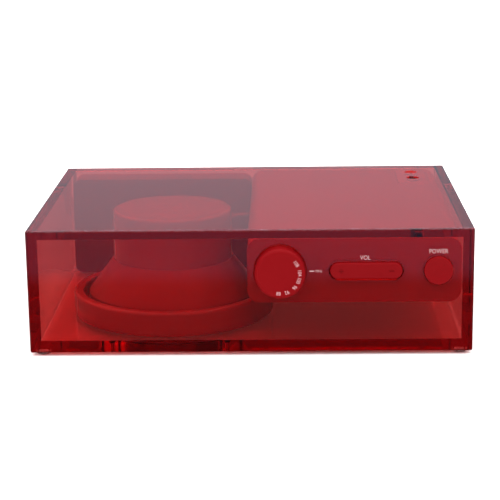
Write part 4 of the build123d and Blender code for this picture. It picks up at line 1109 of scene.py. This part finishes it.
# ---- Studio -----------------------------------------------------------------------------------------
@dataclass
class Studio:
    """Pale floor, soft sky of light and the camera."""

    lens: float = 111.2
    camera_at: tuple[float, float, float] = (20.25 * MM, -917.9 * MM, 273.0 * MM)
    yaw: float = -1.37
    pitch: float = 14.27
    roll: float = -0.75
    floor_size: float = 8.0
    floor_tone: tuple[float, float] = (0.88, 0.92)
    mirrored_sky: tuple[float, float, float] = (0.375, 0.42, 0.50)
    mirrored_near: tuple[float, float, float] = (0.03, 0.03, 0.04)
    mirrored_far: tuple[float, float, float] = (0.10, 0.13, 0.22)
    mirrored_edge: tuple[float, float] = (235.0 * MM, 275.0 * MM)
    side_glow: float = 0.6
    zenith: float = 3.0
    glint: float = 6.0
    # Painted light: seen through the clear walls, the floor is painted bright and glowing inside this
    # footprint and painted darker outside it
    painted_light_footprint: tuple[float, float] = (129.0 * MM, 98.0 * MM)
    painted_light_under_case: float = 0.95
    painted_shade_around_case: float = 0.34
    painted_glow_under_case: float = 0.1
    bounces: int = 32

    def build(self) -> None:
        """Sets the floor, the light and the camera."""
        self.floor()
        self.sky()
        self.camera()
        bpy.context.scene.view_settings.view_transform = "Standard"
        paths = bpy.context.scene.cycles
        paths.max_bounces = self.bounces
        paths.transmission_bounces = self.bounces
        paths.glossy_bounces = self.bounces

    def mirrored(self, tree: bpy.types.NodeTree) -> tuple[bpy.types.NodeSocket, bpy.types.NodeSocket]:
        """Tells mirror reflections from other light, so that polished faces mirror a darker studio.

        Args:
            tree: the floor's or the world's nodes.

        Returns:
            What is 1 in a mirror reflection, and what is 1 where the camera looks straight at it.
        """
        ray = add(tree, "ShaderNodeLightPath")
        both = add(tree, "ShaderNodeMath", {"operation": "MULTIPLY"},
                   {0: ray.outputs["Is Glossy Ray"], 1: ray.outputs["Is Reflection Ray"]})
        return both.outputs["Value"], ray.outputs["Is Camera Ray"]

    def floor(self) -> None:
        """Large pale floor, dark in mirror reflections; through the clear walls it is painted bright with a
        painted glow under the case, and painted darker around it.
        """
        deselect()
        bpy.ops.mesh.primitive_plane_add(size=self.floor_size, location=(0, 0, 0))
        floor = named("studio_floor")
        material, tree = fresh("pale_studio_floor_painted_light")
        place = add(tree, "ShaderNodeTexCoord")
        cloud = add(tree, "ShaderNodeTexNoise", {"Scale": 3.0}, {"Vector": place.outputs["Object"]})
        low, high = self.floor_tone
        tone = add(
            tree, "ShaderNodeMapRange", {"To Min": low, "To Max": high}, {"Value": cloud.outputs["Fac"]}
        )
        bright = add(tree, "ShaderNodeBsdfDiffuse", links={"Color": self.grey(tree, tone.outputs["Result"])})
        # Painted light for rays through the clear walls: a brighter floor and a painted glow under the case,
        # a painted darker floor around it
        under = self.under_case(tree, place.outputs["Object"])
        through = add(tree, "ShaderNodeMapRange", {"To Min": self.painted_shade_around_case, "To Max": self.painted_light_under_case},
                      {"Value": under})
        behind = add(
            tree, "ShaderNodeBsdfDiffuse", links={"Color": self.grey(tree, through.outputs["Result"])}
        )
        # Painted glow: the floor under the case emits light, though it is no lamp
        painted_glow_strength = add(tree, "ShaderNodeMapRange", {"To Max": self.painted_glow_under_case}, {"Value": under})
        glow = add(
            tree, "ShaderNodeEmission", {"Color": (1, 1, 1, 1)}, {"Strength": painted_glow_strength.outputs["Result"]}
        )
        seen = add(
            tree, "ShaderNodeAddShader", links={0: behind.outputs["BSDF"], 1: glow.outputs["Emission"]}
        )
        ray = add(tree, "ShaderNodeLightPath")
        clear = add(tree, "ShaderNodeMixShader",
                    links={0: ray.outputs["Is Transmission Ray"], 1: bright.outputs["BSDF"],
                           2: seen.outputs["Shader"]})
        near = add(tree, "ShaderNodeBsdfDiffuse", {"Color": (*self.mirrored_near, 1)})
        far = add(tree, "ShaderNodeBsdfDiffuse", {"Color": (*self.mirrored_far, 1)})
        parts = add(tree, "ShaderNodeSeparateXYZ", links={0: place.outputs["Object"]})
        start, end = self.mirrored_edge
        ahead = add(
            tree, "ShaderNodeMapRange", {"From Min": -start, "From Max": -end}, {"Value": parts.outputs["Y"]}
        )
        dim = add(tree, "ShaderNodeMixShader",
                  links={0: ahead.outputs["Result"], 1: near.outputs["BSDF"], 2: far.outputs["BSDF"]})
        mirrored, _ = self.mirrored(tree)
        mixed = add(tree, "ShaderNodeMixShader",
                    links={0: mirrored, 1: clear.outputs["Shader"], 2: dim.outputs["Shader"]})
        add(tree, "ShaderNodeOutputMaterial", links={"Surface": mixed.outputs["Shader"]})
        floor.data.materials.append(material)

    def grey(self, tree: bpy.types.NodeTree, tone: bpy.types.NodeSocket) -> bpy.types.NodeSocket:
        """Turns one number into a grey."""
        return add(tree, "ShaderNodeCombineColor", links={0: tone, 1: tone, 2: tone}).outputs["Color"]

    def under_case(self, tree: bpy.types.NodeTree, place: bpy.types.NodeSocket) -> bpy.types.NodeSocket:
        """Gives 1 where the floor lies under the case and 0 around it: the mask of the floor's painted light
        and painted glow.

        Args:
            tree: the floor's nodes.
            place: the floor's own coordinates.

        Returns:
            The mask.
        """
        parts = add(tree, "ShaderNodeSeparateXYZ", links={0: place})
        sides = []
        for axis, reach in zip("XY", self.painted_light_footprint):
            away = add(tree, "ShaderNodeMath", {"operation": "ABSOLUTE"}, {0: parts.outputs[axis]})
            inside = add(tree, "ShaderNodeMath", {"operation": "LESS_THAN"}, {0: away.outputs["Value"]})
            inside.inputs[1].default_value = reach
            sides.append(inside)
        both = add(tree, "ShaderNodeMath", {"operation": "MULTIPLY"},
                   {0: sides[0].outputs["Value"], 1: sides[1].outputs["Value"]})
        return both.outputs["Value"]

    def sky(self) -> None:
        """Even light from above; mirror reflections see it fade to a bluish grey at the horizon."""
        world = bpy.data.worlds.new("soft_sky")
        bpy.context.scene.world = world
        world.use_nodes = True
        tree = world.node_tree
        tree.nodes.clear()
        place = add(tree, "ShaderNodeTexCoord")
        parts = add(tree, "ShaderNodeSeparateXYZ", links={0: place.outputs["Generated"]})
        mirrored, seen = self.mirrored(tree)
        light = self.backdrop(tree, parts.outputs["Z"], (1.0, 1.0, 1.0), self.side_glow, self.zenith)
        mirror = self.backdrop(tree, parts.outputs["Z"], self.mirrored_sky, 1.0, self.glint)
        plain = add(tree, "ShaderNodeBackground", {"Color": (1, 1, 1, 1), "Strength": 1.0})
        glow = add(tree, "ShaderNodeMixShader", links={0: mirrored, 1: light, 2: mirror})
        mixed = add(tree, "ShaderNodeMixShader",
                    links={0: seen, 1: glow.outputs["Shader"], 2: plain.outputs["Background"]})
        add(tree, "ShaderNodeOutputWorld", links={"Surface": mixed.outputs["Shader"]})

    def backdrop(
        self, tree: bpy.types.NodeTree, height: bpy.types.NodeSocket, colour: tuple[float, float, float],
        low: float, high: float
    ) -> bpy.types.NodeSocket:
        """One sky that brightens towards its top.

        Args:
            tree: the world's nodes.
            height: how steeply a direction points up.
            colour: the sky's colour.
            low: its strength at the horizon.
            high: its strength overhead.

        Returns:
            The background.
        """
        strength = add(tree, "ShaderNodeMapRange",
                       {"From Min": 0.25, "From Max": 0.75, "To Min": low, "To Max": high}, {"Value": height})
        sky = add(
            tree, "ShaderNodeBackground", {"Color": (*colour, 1.0)}, {"Strength": strength.outputs["Result"]}
        )
        return sky.outputs["Background"]

    def camera(self) -> None:
        """Camera in front, a little above and right of the middle."""
        yaw, pitch, roll = (math.radians(v) for v in (self.yaw, self.pitch, self.roll))
        ahead = Vector((math.sin(yaw) * math.cos(pitch), math.cos(yaw) * math.cos(pitch), -math.sin(pitch)))
        level = Vector((math.cos(yaw), -math.sin(yaw), 0))
        upright = level.cross(ahead)
        right = level * math.cos(roll) + upright * math.sin(roll)
        up = -level * math.sin(roll) + upright * math.cos(roll)
        data = bpy.data.cameras.new("camera")
        data.lens = self.lens
        data.sensor_width = 36.0
        data.clip_end = 50.0
        camera = bpy.data.objects.new("camera", data)
        bpy.context.scene.collection.objects.link(camera)
        turn = Matrix((right, up, -ahead)).transposed()
        camera.matrix_world = Matrix.Translation(self.camera_at) @ turn.to_4x4()
        bpy.context.scene.camera = camera


def main() -> None:
    """Builds the radio and the studio in order."""
    logging.basicConfig(level=logging.INFO, format="%(message)s")
    looks = Looks()
    CarriedNodes(looks).build()
    AcrylicCase(looks).build()
    Controls(looks).build()
    RollSurround(looks).build()
    Studio().build()


if __name__ == "__main__":
    main()
